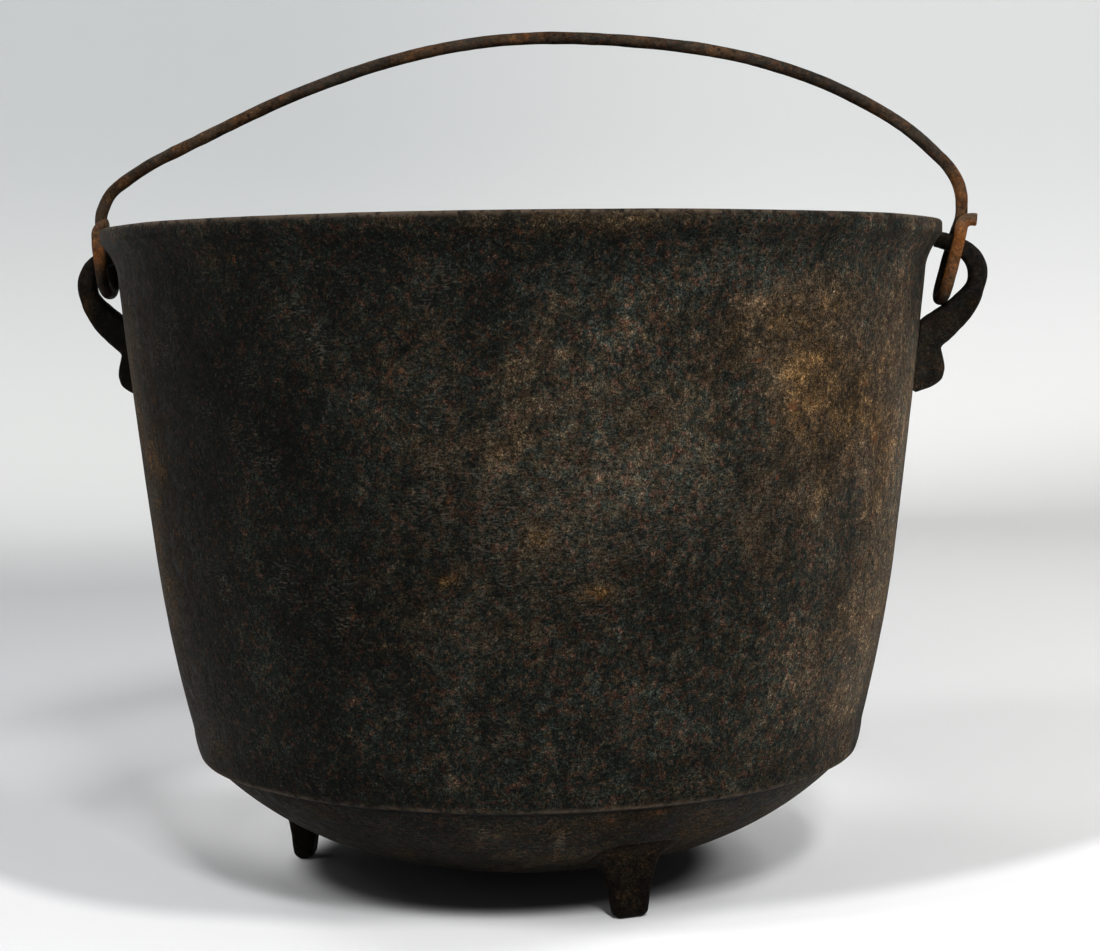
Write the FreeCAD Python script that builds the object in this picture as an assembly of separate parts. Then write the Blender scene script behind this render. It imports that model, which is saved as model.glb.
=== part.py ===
import FreeCAD, Part

import math
import os

# Footed stew pot: an open cast-iron pot with a flared rim, two loop ears, three feet and a bail of iron wire.
# Lengths are in millimetres. Z is up, the ears lie on X, and the origin is on the ground under the pot's axis.

# Shell, outside: heights from the ground up
ground_clearance = 5.0        # ground to the middle of the belly's underside
belly_depth = 36.0            # from there to the step
step_rise = 1.2               # the step's underside slopes up by this
corner_height = 9.8           # rounded-off stretch above the step
lower_wall_height = 63.0      # the wall's more curved part
upper_wall_height = 88.0      # and its straighter part
flare_height = 9.9            # the rim's flare
rim_band = 4.6                # plain upright band at the rim

# Shell, outside: radii from the rim inwards
rim_radius = 140.0
flare_width = 5.3             # how far the rim stands out from the wall
upper_wall_taper = 9.6        # each stretch of the wall is narrower at its foot by this
lower_wall_taper = 11.5
corner_taper = 2.2
step_width = 3.4              # how far the wall overhangs the belly
belly_flat_radius = 36.7      # the wide arc in the middle of the belly ends here
belly_flat_rise = 1.65        # how far that arc climbs
lower_wall_bulge = 1.1        # how far the lower wall stands out from its chord
upper_wall_bulge = 0.3
flare_hollow = 0.8            # how far the flare lies inside its chord
rim_edge_radius = 1.1
wall_thickness = 4.0
floor_thickness = 4.5

# Ears, the same on both sides: out is from the rim's outer edge, and drop is from the rim's top
ring_radius = 12.9            # outside of the ear's round part
ring_out = 2.3                # its middle outside the rim's edge
ring_drop = 18.2              # its middle below the rim's top
ring_turn_start = 80.0        # the round part, in degrees from outwards
ring_turn_end = -5.0
ear_drop = 3.5                # top of the ear's root under the rim's top
ear_length = 53.0             # root's top to the tail's tip
ear_width = 7.0               # along the rim
ear_edge_radius = 1.5
ear_root_depth = 7.0          # the eye reaches this far in from the rim's edge, to the wall
eye_radius = 7.2
eye_out = 1.6                 # eye's middle outside the rim's edge
eye_drop = 17.7               # eye's middle below the rim's top
notch_out = -3.0              # lowest point of the eye, in the corner by the wall
notch_drop = 30.3
eye_top_out = -0.3            # where the eye's upper edge meets the flare
eye_top_drop = 9.2
eye_turn_start = 80.0         # the eye's round part, in degrees from outwards
eye_turn_end = -55.0
# Outline points as shares of the ear's reach outwards and of ear_length downwards
cheek_run_share = 0.1425              # the cheek curve runs this far each way from its corner, of ear_length
neck_share = (0.005, 0.728)           # the corner between cheek and tail
tail_start_share = (0.066, 0.840)     # where the tail begins to curve towards the wall
tail_end_share = (-0.240, 0.976)      # and where it runs straight on into the wall

# Feet
foot_circle_radius = 79.0     # feet's middles from the pot's axis
foot_tip_width = 11.2         # along the circle
foot_tip_depth = 5.8          # across it
foot_root_width = 15.0        # where the foot meets the belly
foot_root_depth = 10.2
foot_corner_radius = 2.3      # upright edges
foot_tip_rounding = 2.2       # edge of the tip
foot_root_flare = 1.6         # the root spreads by this as it meets the belly
foot_angles = {"left_foot": -90.0, "front_foot": 30.0, "back_foot": 150.0}   # from the front towards +X
front_angle = -90.0           # of the front itself, from +X

# Bail
wire_diameter = 4.1
bail_leg_out = 4.9            # the wire's legs outside the eyes' middles
hinge_sag = 0.6               # hinge line below the middle of the ears' top arcs, which fall on both sides
bow_rise = 72.5               # bow's highest centre point above the hinge line
neck_rise = 12.3              # the bow's wire gives way to the hooks at this height above the hinge line
hook_fork_rise = 9.6          # the two legs of a hook part here
hook_fork_foot_rise = 3.2     # and run straight down from here
hook_clearance = 1.3          # between a hook's legs and the sides of its ear
hook_bend_radius = 6.0
hook_tip_gap = 0.25           # between the bent-over tip and the standing leg
left_hook_lean = 2.2          # the hook's foot is this much nearer to the pot than its leg
left_hook_seat_gap = 1.3      # between the hook's foot and the eye's floor
left_tip_rise = 11.4          # the bent-over tip above the hinge line
left_tip_length = 4.6
left_tip_climb = 0.5
right_hook_lean = 7.6
right_hook_seat_gap = 0.3
right_tip_rise = 9.4
right_tip_length = 5.8
right_tip_climb = 0.6
# Corners of the bow's route: shares of the legs' reach along X, and of bow_rise above the hinge line
bow_shares = [
    (-1.000, 0.206), (-0.977, 0.310), (-0.891, 0.429), (-0.532, 0.757), (-0.259, 0.929), (0.000, 0.998),
    (0.259, 0.967), (0.491, 0.897), (0.696, 0.757), (0.876, 0.553), (0.975, 0.356), (1.000, 0.258),
]
bow_bend_radius = 725.0       # wider than its short runs allow, so that they decide

# How rounded corners share the straight runs between them
run_share = 0.49              # a corner may take this share of a run that has a corner at each end
end_run_share = 0.9           # and this share of a route's first or last run

overrun = 20.0                # cutting bodies run past what they cut by this
tiny = 1e-6

# Worked out from the sizes above
belly_top_height = ground_clearance + belly_depth
step_edge_height = belly_top_height + step_rise
wall_foot_height = step_edge_height + corner_height
waist_height = wall_foot_height + lower_wall_height
shoulder_height = waist_height + upper_wall_height
flare_top_height = shoulder_height + flare_height
rim_height = flare_top_height + rim_band
shoulder_radius = rim_radius - flare_width
waist_radius = shoulder_radius - upper_wall_taper
wall_foot_radius = waist_radius - lower_wall_taper
step_edge_radius = wall_foot_radius - corner_taper
belly_radius = step_edge_radius - step_width
wire_radius = wire_diameter / 2
ear_top_arc_drop = (ring_drop - ring_radius + eye_drop - eye_radius) / 2
hinge_height = rim_height - ear_top_arc_drop - hinge_sag
leg_reach = rim_radius + eye_out + bail_leg_out
hook_leg_offset = ear_width / 2 + hook_clearance + wire_radius


def at(radius, height, side=0.0):
    """A point at this distance along X, this height, and this far along Y."""
    return FreeCAD.Vector(radius, side, height)


def bowed(start, end, rise):
    """An arc from start to end whose middle stands off the chord by rise, to the right when walking up."""
    chord = end - start
    across = FreeCAD.Vector(chord.z, 0, -chord.x)
    across.normalize()
    middle = (start + end) * 0.5 + across * rise
    return Part.Arc(start, middle, end).toShape()


def tangent_arc(start, direction, end):
    """An arc in the XZ plane that leaves start along direction and ends at end."""
    chord = end - start
    across = FreeCAD.Vector(-direction.z, 0, direction.x)
    radius = chord.Length ** 2 / (2 * chord.dot(across))
    centre = start + across * radius
    to_middle = (start + end) * 0.5 - centre
    to_middle.normalize()
    return Part.Arc(start, centre + to_middle * abs(radius), end).toShape()


def wall_edges(inset, floor_height):
    """The edges of the shell's section from the axis to the rim, set in from the outside by inset."""
    middle = at(0, floor_height)
    flat_end = at(belly_flat_radius, floor_height + belly_flat_rise)
    flat_radius = (belly_flat_radius ** 2 + belly_flat_rise ** 2) / (2 * belly_flat_rise)
    lean = math.asin(belly_flat_radius / flat_radius)
    climb = FreeCAD.Vector(math.cos(lean), 0, math.sin(lean))
    belly_top = at(belly_radius - inset, belly_top_height)
    foot = at(wall_foot_radius - inset, wall_foot_height)
    waist = at(waist_radius - inset, waist_height)
    shoulder = at(shoulder_radius - inset, shoulder_height)
    flare_top = at(rim_radius - inset, flare_top_height)
    rim = at(rim_radius - inset, rim_height)
    flat_middle = at(belly_flat_radius / 2, floor_height + flat_radius
                     - math.sqrt(flat_radius ** 2 - (belly_flat_radius / 2) ** 2))
    edges = [
        Part.Arc(middle, flat_middle, flat_end).toShape(),
        tangent_arc(flat_end, climb, belly_top),
    ]
    if inset:
        edges.append(Part.makeLine(belly_top, foot))
    else:
        step_edge = at(step_edge_radius, step_edge_height)
        edges.append(Part.makeLine(belly_top, step_edge))
        edges.append(Part.makeLine(step_edge, foot))
    edges += [
        bowed(foot, waist, lower_wall_bulge),
        bowed(waist, shoulder, upper_wall_bulge),
        bowed(shoulder, flare_top, -flare_hollow),
        Part.makeLine(flare_top, rim),
    ]
    return edges


def turned(edges):
    """A solid of revolution about Z from the edges of a closed section in the XZ plane."""
    section = Part.Face(Part.Wire(edges))
    return section.revolve(FreeCAD.Vector(0, 0, 0), FreeCAD.Vector(0, 0, 1), 360)


def filled_pot():
    """The pot as if it were solid iron, for shaping what is carried on its outside."""
    outside = wall_edges(0, ground_clearance)
    closing = [
        Part.makeLine(at(rim_radius, rim_height), at(0, rim_height)),
        Part.makeLine(at(0, rim_height), at(0, ground_clearance)),
    ]
    return turned(outside + closing)


def pot_shell():
    """Rim, wall, step and belly: the outside's section, less the same section set in by the wall."""
    inside_floor = ground_clearance + floor_thickness
    outside = wall_edges(0, ground_clearance)
    inside = wall_edges(wall_thickness, inside_floor)
    closing = [
        Part.makeLine(at(rim_radius, rim_height), at(rim_radius - wall_thickness, rim_height)),
        Part.makeLine(at(0, inside_floor), at(0, ground_clearance)),
    ]
    shell = turned(Part.__sortEdges__(outside + inside + closing))
    rim_edges = [
        edge for edge in shell.Edges
        if len(edge.Vertexes) == 1 and abs(edge.Vertexes[0].Z - rim_height) < tiny
    ]
    return shell.makeFillet(rim_edge_radius, rim_edges)


def plate(edges, width):
    """A plate of this width along Y, centred on Y = 0, from a closed outline in the XZ plane."""
    face = Part.Face(Part.Wire(edges))
    face.translate(FreeCAD.Vector(0, -width / 2, 0))
    return face.extrude(FreeCAD.Vector(0, width, 0))


def ear_point(out, drop):
    """A point of the right ear, out from the rim's edge and down from the rim's top."""
    return at(rim_radius + out, rim_height - drop)


def on_circle(centre, radius, degrees):
    """The point of an upright circle at this many degrees from outwards."""
    turn = math.radians(degrees)
    return centre + FreeCAD.Vector(math.cos(turn), 0, math.sin(turn)) * radius


def circle_part(centre, radius, start, end):
    """An arc of an upright circle between two angles, in degrees from outwards."""
    points = [on_circle(centre, radius, degrees) for degrees in (start, (start + end) / 2, end)]
    return Part.Arc(*points).toShape()


def eye_plug():
    """The space of the eye: round on the outside, running down into a corner by the wall."""
    centre = ear_point(eye_out, eye_drop)
    notch = ear_point(notch_out, notch_drop)
    notch_wall = ear_point(-ear_root_depth, notch_drop)
    flare = ear_point(eye_top_out, eye_top_drop)
    flare_wall = ear_point(-ear_root_depth, eye_top_drop)
    edges = [
        Part.makeLine(flare, on_circle(centre, eye_radius, eye_turn_start)),
        circle_part(centre, eye_radius, eye_turn_start, eye_turn_end),
        Part.makeLine(on_circle(centre, eye_radius, eye_turn_end), notch),
        Part.makeLine(notch, notch_wall),
        Part.makeLine(notch_wall, flare_wall),
        Part.makeLine(flare_wall, flare),
    ]
    return plate(edges, ear_width + 2 * overrun)


def shared_point(share):
    """A point of the ear's outline from its shares of the ear's reach and length."""
    out, down = share
    return ear_point(out * (ring_out + ring_radius), ear_drop + down * ear_length)


def heading(start, end):
    """The unit vector from start to end."""
    chord = end - start
    chord.normalize()
    return chord


def ear_outline():
    """The outline in the radial plane: root, round part, cheek, neck, tail, and back inside the wall.

    The arcs of cheek and tail run on from the lines beside them without a corner, at any length of the ear.
    """
    centre = ear_point(ring_out, ring_drop)
    round_start = on_circle(centre, ring_radius, ring_turn_start)
    round_end = on_circle(centre, ring_radius, ring_turn_end)
    turn = math.radians(ring_turn_end)
    downwards = FreeCAD.Vector(math.sin(turn), 0, -math.cos(turn))
    neck = shared_point(neck_share)
    cheek_run = cheek_run_share * ear_length
    cheek_corner = round_end + downwards * cheek_run
    cheek = cheek_corner + heading(cheek_corner, neck) * cheek_run
    tail_start = shared_point(tail_start_share)
    tail_end = shared_point(tail_end_share)
    tail_way = heading(neck, tail_start)
    chord_way = heading(tail_start, tail_end)
    wall_way = chord_way * (2 * tail_way.dot(chord_way)) - tail_way
    tail_inside = tail_end + wall_way * ((wall_foot_radius - tail_end.x) / wall_way.x)
    root_top = ear_point(0, ear_drop)
    root_inside = at(wall_foot_radius, root_top.z)
    return [
        Part.makeLine(root_inside, root_top),
        Part.makeLine(root_top, round_start),
        circle_part(centre, ring_radius, ring_turn_start, ring_turn_end),
        tangent_arc(round_end, downwards, cheek),
        Part.makeLine(cheek, neck),
        Part.makeLine(neck, tail_start),
        tangent_arc(tail_start, tail_way, tail_end),
        Part.makeLine(tail_end, tail_inside),
        Part.makeLine(tail_inside, root_inside),
    ]


def ear(side, pot):
    """A loop ear: an upright plate pierced by its eye, its edges rounded, cut to lie on the pot."""
    body = plate(ear_outline(), ear_width).cut(eye_plug())
    body = body.makeFillet(ear_edge_radius, side_edges(body))
    body = body.cut(pot)
    if side < 0:
        body = body.mirror(FreeCAD.Vector(0, 0, 0), FreeCAD.Vector(1, 0, 0))
    return body


def side_edges(body):
    """The edges of an ear's two flat sides, apart from those that end up inside the pot's wall."""
    chosen = []
    for edge in body.Edges:
        box = edge.BoundBox
        flat = box.YLength < tiny and abs(abs(box.YMin) - ear_width / 2) < tiny
        inside = box.XMax < rim_radius - ear_root_depth + tiny
        if flat and not inside:
            chosen.append(edge)
    return chosen


def rounded_rectangle(depth, width, height, corner):
    """A closed wire with round corners, depth along X and width along Y, at this height."""
    x = depth / 2
    y = width / 2
    corners = [(x, -y), (x, y), (-x, y), (-x, -y)]
    points = [FreeCAD.Vector(a, b, height) for a, b in corners]
    return rounded_route(points, corner, closed=True)


def rounded_route(points, radius, closed=False):
    """Straight runs through the points, their corners rounded as far as radius and the runs allow."""
    count = len(points)
    corners = range(count) if closed else range(1, count - 1)
    cut = {}
    for i in corners:
        before = points[i - 1] - points[i]
        after = points[(i + 1) % count] - points[i]
        first_run = before.Length * (run_share if closed or i > 1 else end_run_share)
        last_run = after.Length * (run_share if closed or i < count - 2 else end_run_share)
        before.normalize()
        after.normalize()
        half = before.getAngle(after) / 2
        reach = min(first_run, last_run, radius / math.tan(half))
        bisector = before + after
        bisector.normalize()
        middle = points[i] + bisector * (reach / math.cos(half) - reach * math.tan(half))
        cut[i] = (points[i] + before * reach, middle, points[i] + after * reach)
    edges = []
    for i in range(count if closed else count - 1):
        after = (i + 1) % count
        start = cut[i][2] if i in cut else points[i]
        end = cut[after][0] if after in cut else points[after]
        if (end - start).Length > tiny:
            edges.append(Part.makeLine(start, end))
        if after in cut:
            edges.append(Part.Arc(*cut[after]).toShape())
    return Part.Wire(edges)


def belly_height(radius):
    """Height of the belly's underside at this radius, along the straight from its arc to its top."""
    share = (radius - belly_flat_radius) / (belly_radius - belly_flat_radius)
    return ground_clearance + belly_flat_rise + share * (belly_depth - belly_flat_rise)


def foot(angle, pot):
    """A tapered lug with a rounded tip, spreading a little where it meets the belly."""
    top = belly_height(foot_circle_radius + foot_root_depth)
    flare_start = belly_height(foot_circle_radius) - foot_root_depth
    levels = [
        (0.0, foot_tip_depth, foot_tip_width),
        (flare_start, foot_root_depth, foot_root_width),
        (top, foot_root_depth + 2 * foot_root_flare, foot_root_width + 2 * foot_root_flare),
    ]
    wires = [rounded_rectangle(depth, width, height, foot_corner_radius) for height, depth, width in levels]
    lug = Part.makeLoft(wires, True, True)
    tip_edges = [edge for edge in lug.Edges if edge.BoundBox.ZMax < tiny]
    lug = lug.makeFillet(foot_tip_rounding, tip_edges)
    lug.translate(FreeCAD.Vector(foot_circle_radius, 0, 0))
    lug.rotate(FreeCAD.Vector(0, 0, 0), FreeCAD.Vector(0, 0, 1), front_angle + angle)
    return lug.cut(pot)


def wire_along(points, radius):
    """The bail's wire carried along a route with rounded corners."""
    route = rounded_route(points, radius)
    first = points[1] - points[0]
    ring = Part.Wire(Part.makeCircle(wire_radius, points[0], first))
    return route.makePipeShell([ring], True, False)


def bail_bow():
    """The bow from neck to neck; its corners are rounded as far as their runs allow."""
    neck = hinge_height + neck_rise
    points = [at(leg_reach * along, hinge_height + bow_rise * up) for along, up in bow_shares]
    route = [at(-leg_reach, neck)] + points + [at(leg_reach, neck)]
    return wire_along(route, bow_bend_radius)


def eye_floor_height(out, gap):
    """Height of the wire's centre this far outside the rim's edge, with this gap to the eye's floor."""
    low = on_circle(ear_point(eye_out, eye_drop), eye_radius, eye_turn_end)
    notch = ear_point(notch_out, notch_drop)
    slope = math.atan2(low.z - notch.z, low.x - notch.x)
    return notch.z + (out - notch_out) * math.tan(slope) + (wire_radius + gap) / math.cos(slope)


def bail_hook(side, lean, seat_gap, tip_rise, tip_length, tip_climb):
    """A bail end: down behind the ear, forward through the eye, up in front and bent over beside the leg."""
    fork_rise = hinge_height + hook_fork_rise
    fork_foot_rise = hinge_height + hook_fork_foot_rise
    low_rise = eye_floor_height(leg_reach - lean - rim_radius, seat_gap)
    fork_lean = lean * (fork_rise - fork_foot_rise) / (fork_rise - low_rise)
    reach = side * leg_reach
    fork_foot_reach = side * (leg_reach - fork_lean)
    low_reach = side * (leg_reach - lean)
    tip = at(reach, hinge_height + tip_rise, -(wire_diameter + hook_tip_gap))
    route = [
        at(reach, hinge_height + neck_rise),
        at(reach, fork_rise),
        at(fork_foot_reach, fork_foot_rise, hook_leg_offset),
        at(low_reach, low_rise, hook_leg_offset),
        at(low_reach, low_rise, -hook_leg_offset),
        at(fork_foot_reach, fork_foot_rise, -hook_leg_offset),
        tip,
        tip + FreeCAD.Vector(tip_length, 0, tip_climb),
    ]
    return wire_along(route, hook_bend_radius)


def main():
    """Builds every node and writes one file for each."""
    pot = filled_pot()
    nodes = {
        "pot_shell": pot_shell(),
        "left_ear": ear(-1, pot),
        "right_ear": ear(1, pot),
        "bail_bow": bail_bow(),
        "left_bail_hook": bail_hook(
            -1, left_hook_lean, left_hook_seat_gap, left_tip_rise, left_tip_length, left_tip_climb),
        "right_bail_hook": bail_hook(
            1, right_hook_lean, right_hook_seat_gap, right_tip_rise, right_tip_length, right_tip_climb),
    }
    for name, angle in foot_angles.items():
        nodes[name] = foot(angle, pot)
    os.makedirs("parts", exist_ok=True)
    for name, shape in nodes.items():
        print(name, shape.ShapeType, "solids", len(shape.Solids), "valid", shape.isValid(),
              "volume", round(shape.Volume, 1))
        shape.exportStep(os.path.join("parts", name + ".step"))


main()
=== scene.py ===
"""Looks of the footed stew pot: an iron casting with loop ears and three feet, and a bail of rusty wire."""

import logging
import math
from dataclasses import dataclass
from enum import Enum

import bpy
import numpy as np
from mathutils import Matrix, Vector

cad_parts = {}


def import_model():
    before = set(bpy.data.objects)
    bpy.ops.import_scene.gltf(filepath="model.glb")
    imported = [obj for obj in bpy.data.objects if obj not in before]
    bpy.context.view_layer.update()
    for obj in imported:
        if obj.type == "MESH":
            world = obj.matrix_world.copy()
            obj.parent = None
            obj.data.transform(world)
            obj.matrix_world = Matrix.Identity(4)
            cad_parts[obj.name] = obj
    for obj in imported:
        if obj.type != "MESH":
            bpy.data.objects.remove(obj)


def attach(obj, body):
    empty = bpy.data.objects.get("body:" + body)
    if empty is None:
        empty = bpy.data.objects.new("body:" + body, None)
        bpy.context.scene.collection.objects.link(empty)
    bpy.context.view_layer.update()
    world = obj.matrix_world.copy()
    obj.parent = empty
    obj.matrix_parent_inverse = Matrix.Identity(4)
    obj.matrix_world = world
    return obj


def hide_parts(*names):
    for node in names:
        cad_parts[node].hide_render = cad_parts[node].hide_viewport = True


log = logging.getLogger("stew_pot")

Colour = tuple[float, float, float]
Point = tuple[float, float, float]
Place = tuple[float, float]
Span = tuple[float, float]
Socket = bpy.types.NodeSocket
Sockets = bpy.types.bpy_prop_collection

POT_BODY = "pot"
BAIL_BODY = "bail"


class Side(Enum):
    """The two ends of the pot's width; the value is the sign of X."""

    LEFT = -1.0
    RIGHT = 1.0


# Shapes worked out as whole arrays

def arc_run(start: np.ndarray, end: np.ndarray, bow: float, count: int) -> np.ndarray:
    """Points on an arc from start to end, without its last point.

    The arc's middle stands off the chord by bow, to the right when walking along it, so its radius is
    (chord squared / 4 + bow squared) / (2 bow), and the points turn evenly about its centre.

    Args:
        start: first point, radius and height.
        end: last point, radius and height.
        bow: how far the middle stands off the chord; 0 gives a straight run.
        count: number of points.

    Returns:
        Points of shape (count, 2).
    """
    share = np.arange(count)[:, None] / count
    chord = end - start
    if bow == 0.0:
        return start + share * chord
    length = math.hypot(*chord)
    across = np.array([chord[1], -chord[0]]) / length
    radius = (length * length / 4 + bow * bow) / (2 * bow)
    centre = (start + end) / 2 + across * (bow - radius)
    first = math.atan2(*(start - centre)[::-1])
    sweep = 2 * math.asin(length / (2 * abs(radius))) * math.copysign(1.0, bow)
    angle = first + sweep * share[:, 0]
    return centre + abs(radius) * np.stack([np.cos(angle), np.sin(angle)], 1)


def arcs_through(places: list[Place], bows: list[float], count: int) -> np.ndarray:
    """Arcs from each place to the next, and the last place.

    Args:
        places: radius and height of the arcs' ends.
        bows: how far the middle of each arc stands off its chord.
        count: number of points of each arc.

    Returns:
        Points of shape (n, 2).
    """
    corners = np.array(places)
    runs = [arc_run(start, end, bow, count) for start, end, bow in zip(corners[:-1], corners[1:], bows)]
    return np.concatenate(runs + [corners[-1:]])


def spaced(line: np.ndarray, spacing: np.ndarray | float) -> np.ndarray:
    """Points along a line whose distance apart follows spacing.

    Args:
        line: points of shape (n, k).
        spacing: wanted distance between points, one for all or one for each point of the line.

    Returns:
        Points of shape (m, k), the ends included.
    """
    spacing = np.broadcast_to(spacing, len(line))
    step = np.linalg.norm(np.diff(line, axis=0), axis=1)
    density = np.concatenate([[0.0], np.cumsum(step * 2 / (spacing[1:] + spacing[:-1]))])
    count = max(2, int(round(density[-1])) + 1)
    wanted = np.linspace(0.0, density[-1], count)
    return np.stack([np.interp(wanted, density, line[:, k]) for k in range(line.shape[1])], 1)


def smooth_line(line: np.ndarray, passes: int) -> np.ndarray:
    """A smoothed line: at each pass an inner point moves to (one before + 2 times itself + one after) / 4.

    Args:
        line: points of shape (n, k).
        passes: how often the points move.

    Returns:
        Points of shape (n, k).
    """
    line = line.copy()
    for _ in range(passes):
        line[1:-1] = (line[:-2] + 2 * line[1:-1] + line[2:]) / 4
    return line


def eased_route(corners: np.ndarray, radius: float, step: float) -> np.ndarray:
    """Evenly spaced points on straight runs through the corners, each corner rounded to an arc.

    A corner takes radius times the tangent of half its turn from both its runs, at most half of a run and 0.9
    of the first and last. Its arc is a cubic whose handles are 4/3 tan(turn / 4) / tan(turn / 2) times that.

    Args:
        corners: the route's corners, shape (n, 3).
        radius: bend radius.
        step: distance between the points.

    Returns:
        Points of shape (m, 3).
    """
    inner_share = 0.5
    end_share = 0.9
    curve_points = 25
    inner = corners[1:-1]
    before = corners[:-2] - inner
    after = corners[2:] - inner
    run_before = np.linalg.norm(before, axis=1, keepdims=True)
    run_after = np.linalg.norm(after, axis=1, keepdims=True)
    before = before / run_before
    after = after / run_after
    turn = math.pi - np.arccos(np.clip((before * after).sum(1, keepdims=True), -1.0, 1.0))
    first_share = np.full_like(turn, inner_share)
    last_share = first_share.copy()
    first_share[0] = end_share
    last_share[-1] = end_share
    most = np.minimum(run_before * first_share, run_after * last_share)
    reach = np.minimum(radius * np.tan(turn / 2), most)
    handle = reach * 4 / 3 * np.tan(turn / 4) / np.tan(turn / 2)
    start = inner + before * reach
    end = inner + after * reach
    start_handle = (start - before * handle)[:, None]
    end_handle = (end - after * handle)[:, None]
    share = np.linspace(0.0, 1.0, curve_points)[None, :, None]
    left = 1 - share
    curve = (
        start[:, None] * left ** 3 + 3 * start_handle * share * left ** 2
        + 3 * end_handle * share ** 2 * left + end[:, None] * share ** 3
    )
    return spaced(np.concatenate([corners[:1], curve.reshape(-1, 3), corners[-1:]]), step)


def bell(value: np.ndarray, middle: float, reach: float) -> np.ndarray:
    """A bell curve: 1 at the middle, 1/e at reach from it."""
    return np.exp(-((value - middle) / reach) ** 2)


@dataclass(frozen=True)
class Waves:
    """One scale of unevenness: a sum of cosines with random directions, lengths and phases.

    The sum of count cosines times the root of 0.5 / count mostly stays between -1 and 1.
    """

    wavelength: float
    height: float
    seed: int
    count: int = 28
    length_shares: Span = (0.7, 1.5)

    def at(self, points: np.ndarray) -> np.ndarray:
        """The unevenness at each point.

        Args:
            points: places, shape (n, 3).

        Returns:
            Values of shape (n,), mostly between -height and height.
        """
        source = np.random.default_rng(self.seed)
        direction = source.normal(size=(self.count, 3))
        direction /= np.linalg.norm(direction, axis=1, keepdims=True)
        length = self.wavelength * source.uniform(*self.length_shares, self.count)
        phase = source.uniform(0.0, 2 * math.pi, self.count)
        waves = np.cos(points @ (direction * (2 * math.pi / length)[:, None]).T + phase)
        return waves.sum(1) * math.sqrt(0.5 / self.count) * self.height


def unevenness(points: np.ndarray, scales: tuple[Waves, ...]) -> np.ndarray:
    """The sum of several scales of unevenness at each point of a grid, in the grid's own shape."""
    flat = points.reshape(-1, 3)
    return sum(waves.at(flat) for waves in scales).reshape(points.shape[:-1])


def grid_quads(rows: int, columns: int) -> np.ndarray:
    """Faces of a grid whose columns close on themselves.

    Args:
        rows: number of rows.
        columns: number of columns.

    Returns:
        The vertex numbers of each face, shape (n, 4).
    """
    row = np.arange(rows - 1)[:, None] * columns
    column = np.arange(columns)[None, :]
    after = (column + 1) % columns
    quads = np.stack([row + column, row + after, row + columns + after, row + columns + column], -1)
    return quads.reshape(-1, 4)


def closed_grid(points: np.ndarray, end_pole: bool = True) -> tuple[np.ndarray, list[list[int]]]:
    """Vertices and faces of a tube-like grid, with its ends closed by a pole at the ring's middle.

    Args:
        points: grid of shape (rows, columns, 3); columns close on themselves.
        end_pole: whether the last row gets a pole, as the first one does.

    Returns:
        Vertices of shape (n, 3), and faces as lists of vertex numbers.
    """
    rows, columns = points.shape[:2]
    column = np.arange(columns)
    after = (column + 1) % columns
    pole = rows * columns
    vertices = [points.reshape(-1, 3), points[0].mean(0, keepdims=True)]
    faces = grid_quads(rows, columns).tolist()
    faces += np.stack([np.full(columns, pole), after, column], 1).tolist()
    if end_pole:
        last = (rows - 1) * columns
        vertices.append(points[-1].mean(0, keepdims=True))
        faces += np.stack([np.full(columns, pole + 1), last + column, last + after], 1).tolist()
    return np.concatenate(vertices), faces


def tube(path: np.ndarray, side: np.ndarray, radii: np.ndarray, columns: int) -> np.ndarray:
    """A circle carried along a path.

    At each station the circle lies across the path: its first axis is side less its part along the path, and
    its second is the path's direction crossed with the first.

    Args:
        path: stations, shape (n, 3).
        side: for each station a direction that is never along the path, shape (n, 3).
        radii: the circle's radius at each station.
        columns: points round the circle.

    Returns:
        Grid of shape (n, columns, 3).
    """
    along = np.gradient(path, axis=0)
    along /= np.linalg.norm(along, axis=1, keepdims=True)
    first = side - along * (side * along).sum(1, keepdims=True)
    first /= np.linalg.norm(first, axis=1, keepdims=True)
    second = np.cross(along, first)
    angle = np.linspace(0.0, 2 * math.pi, columns, endpoint=False)
    ring = first[:, None] * np.cos(angle)[None, :, None] + second[:, None] * np.sin(angle)[None, :, None]
    return path[:, None] + ring * radii[:, None, None]


def rounded_section(across: int, flat_long: int, flat_short: int) -> tuple[np.ndarray, np.ndarray]:
    """A rounded rectangle as two parts: each point's corner (core, -1 to 1) and its normal (turn).

    A point is core times the half sizes less the corner radius, plus turn times the corner radius.

    Args:
        across: points on each corner's arc.
        flat_long: points inside each side along the first axis.
        flat_short: points inside each side along the second axis.

    Returns:
        core and turn, each of shape (n, 2), going round counterclockwise.
    """
    cores: list[np.ndarray] = []
    turns: list[np.ndarray] = []
    signs = ((1.0, 1.0), (-1.0, 1.0), (-1.0, -1.0), (1.0, -1.0))
    for quarter in range(4):
        angle = (quarter + np.linspace(0.0, 1.0, across)) * math.pi / 2
        here = np.array(signs[quarter])
        there = np.array(signs[(quarter + 1) % 4])
        cores.append(np.broadcast_to(here, (across, 2)))
        turns.append(np.stack([np.cos(angle), np.sin(angle)], 1))
        inside = flat_long if quarter % 2 == 0 else flat_short
        share = (np.arange(inside) + 1)[:, None] / (inside + 1)
        cores.append(here + (there - here) * share)
        turns.append(np.broadcast_to(turns[-1][-1], (inside, 2)))
    return np.concatenate(cores), np.concatenate(turns)


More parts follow.
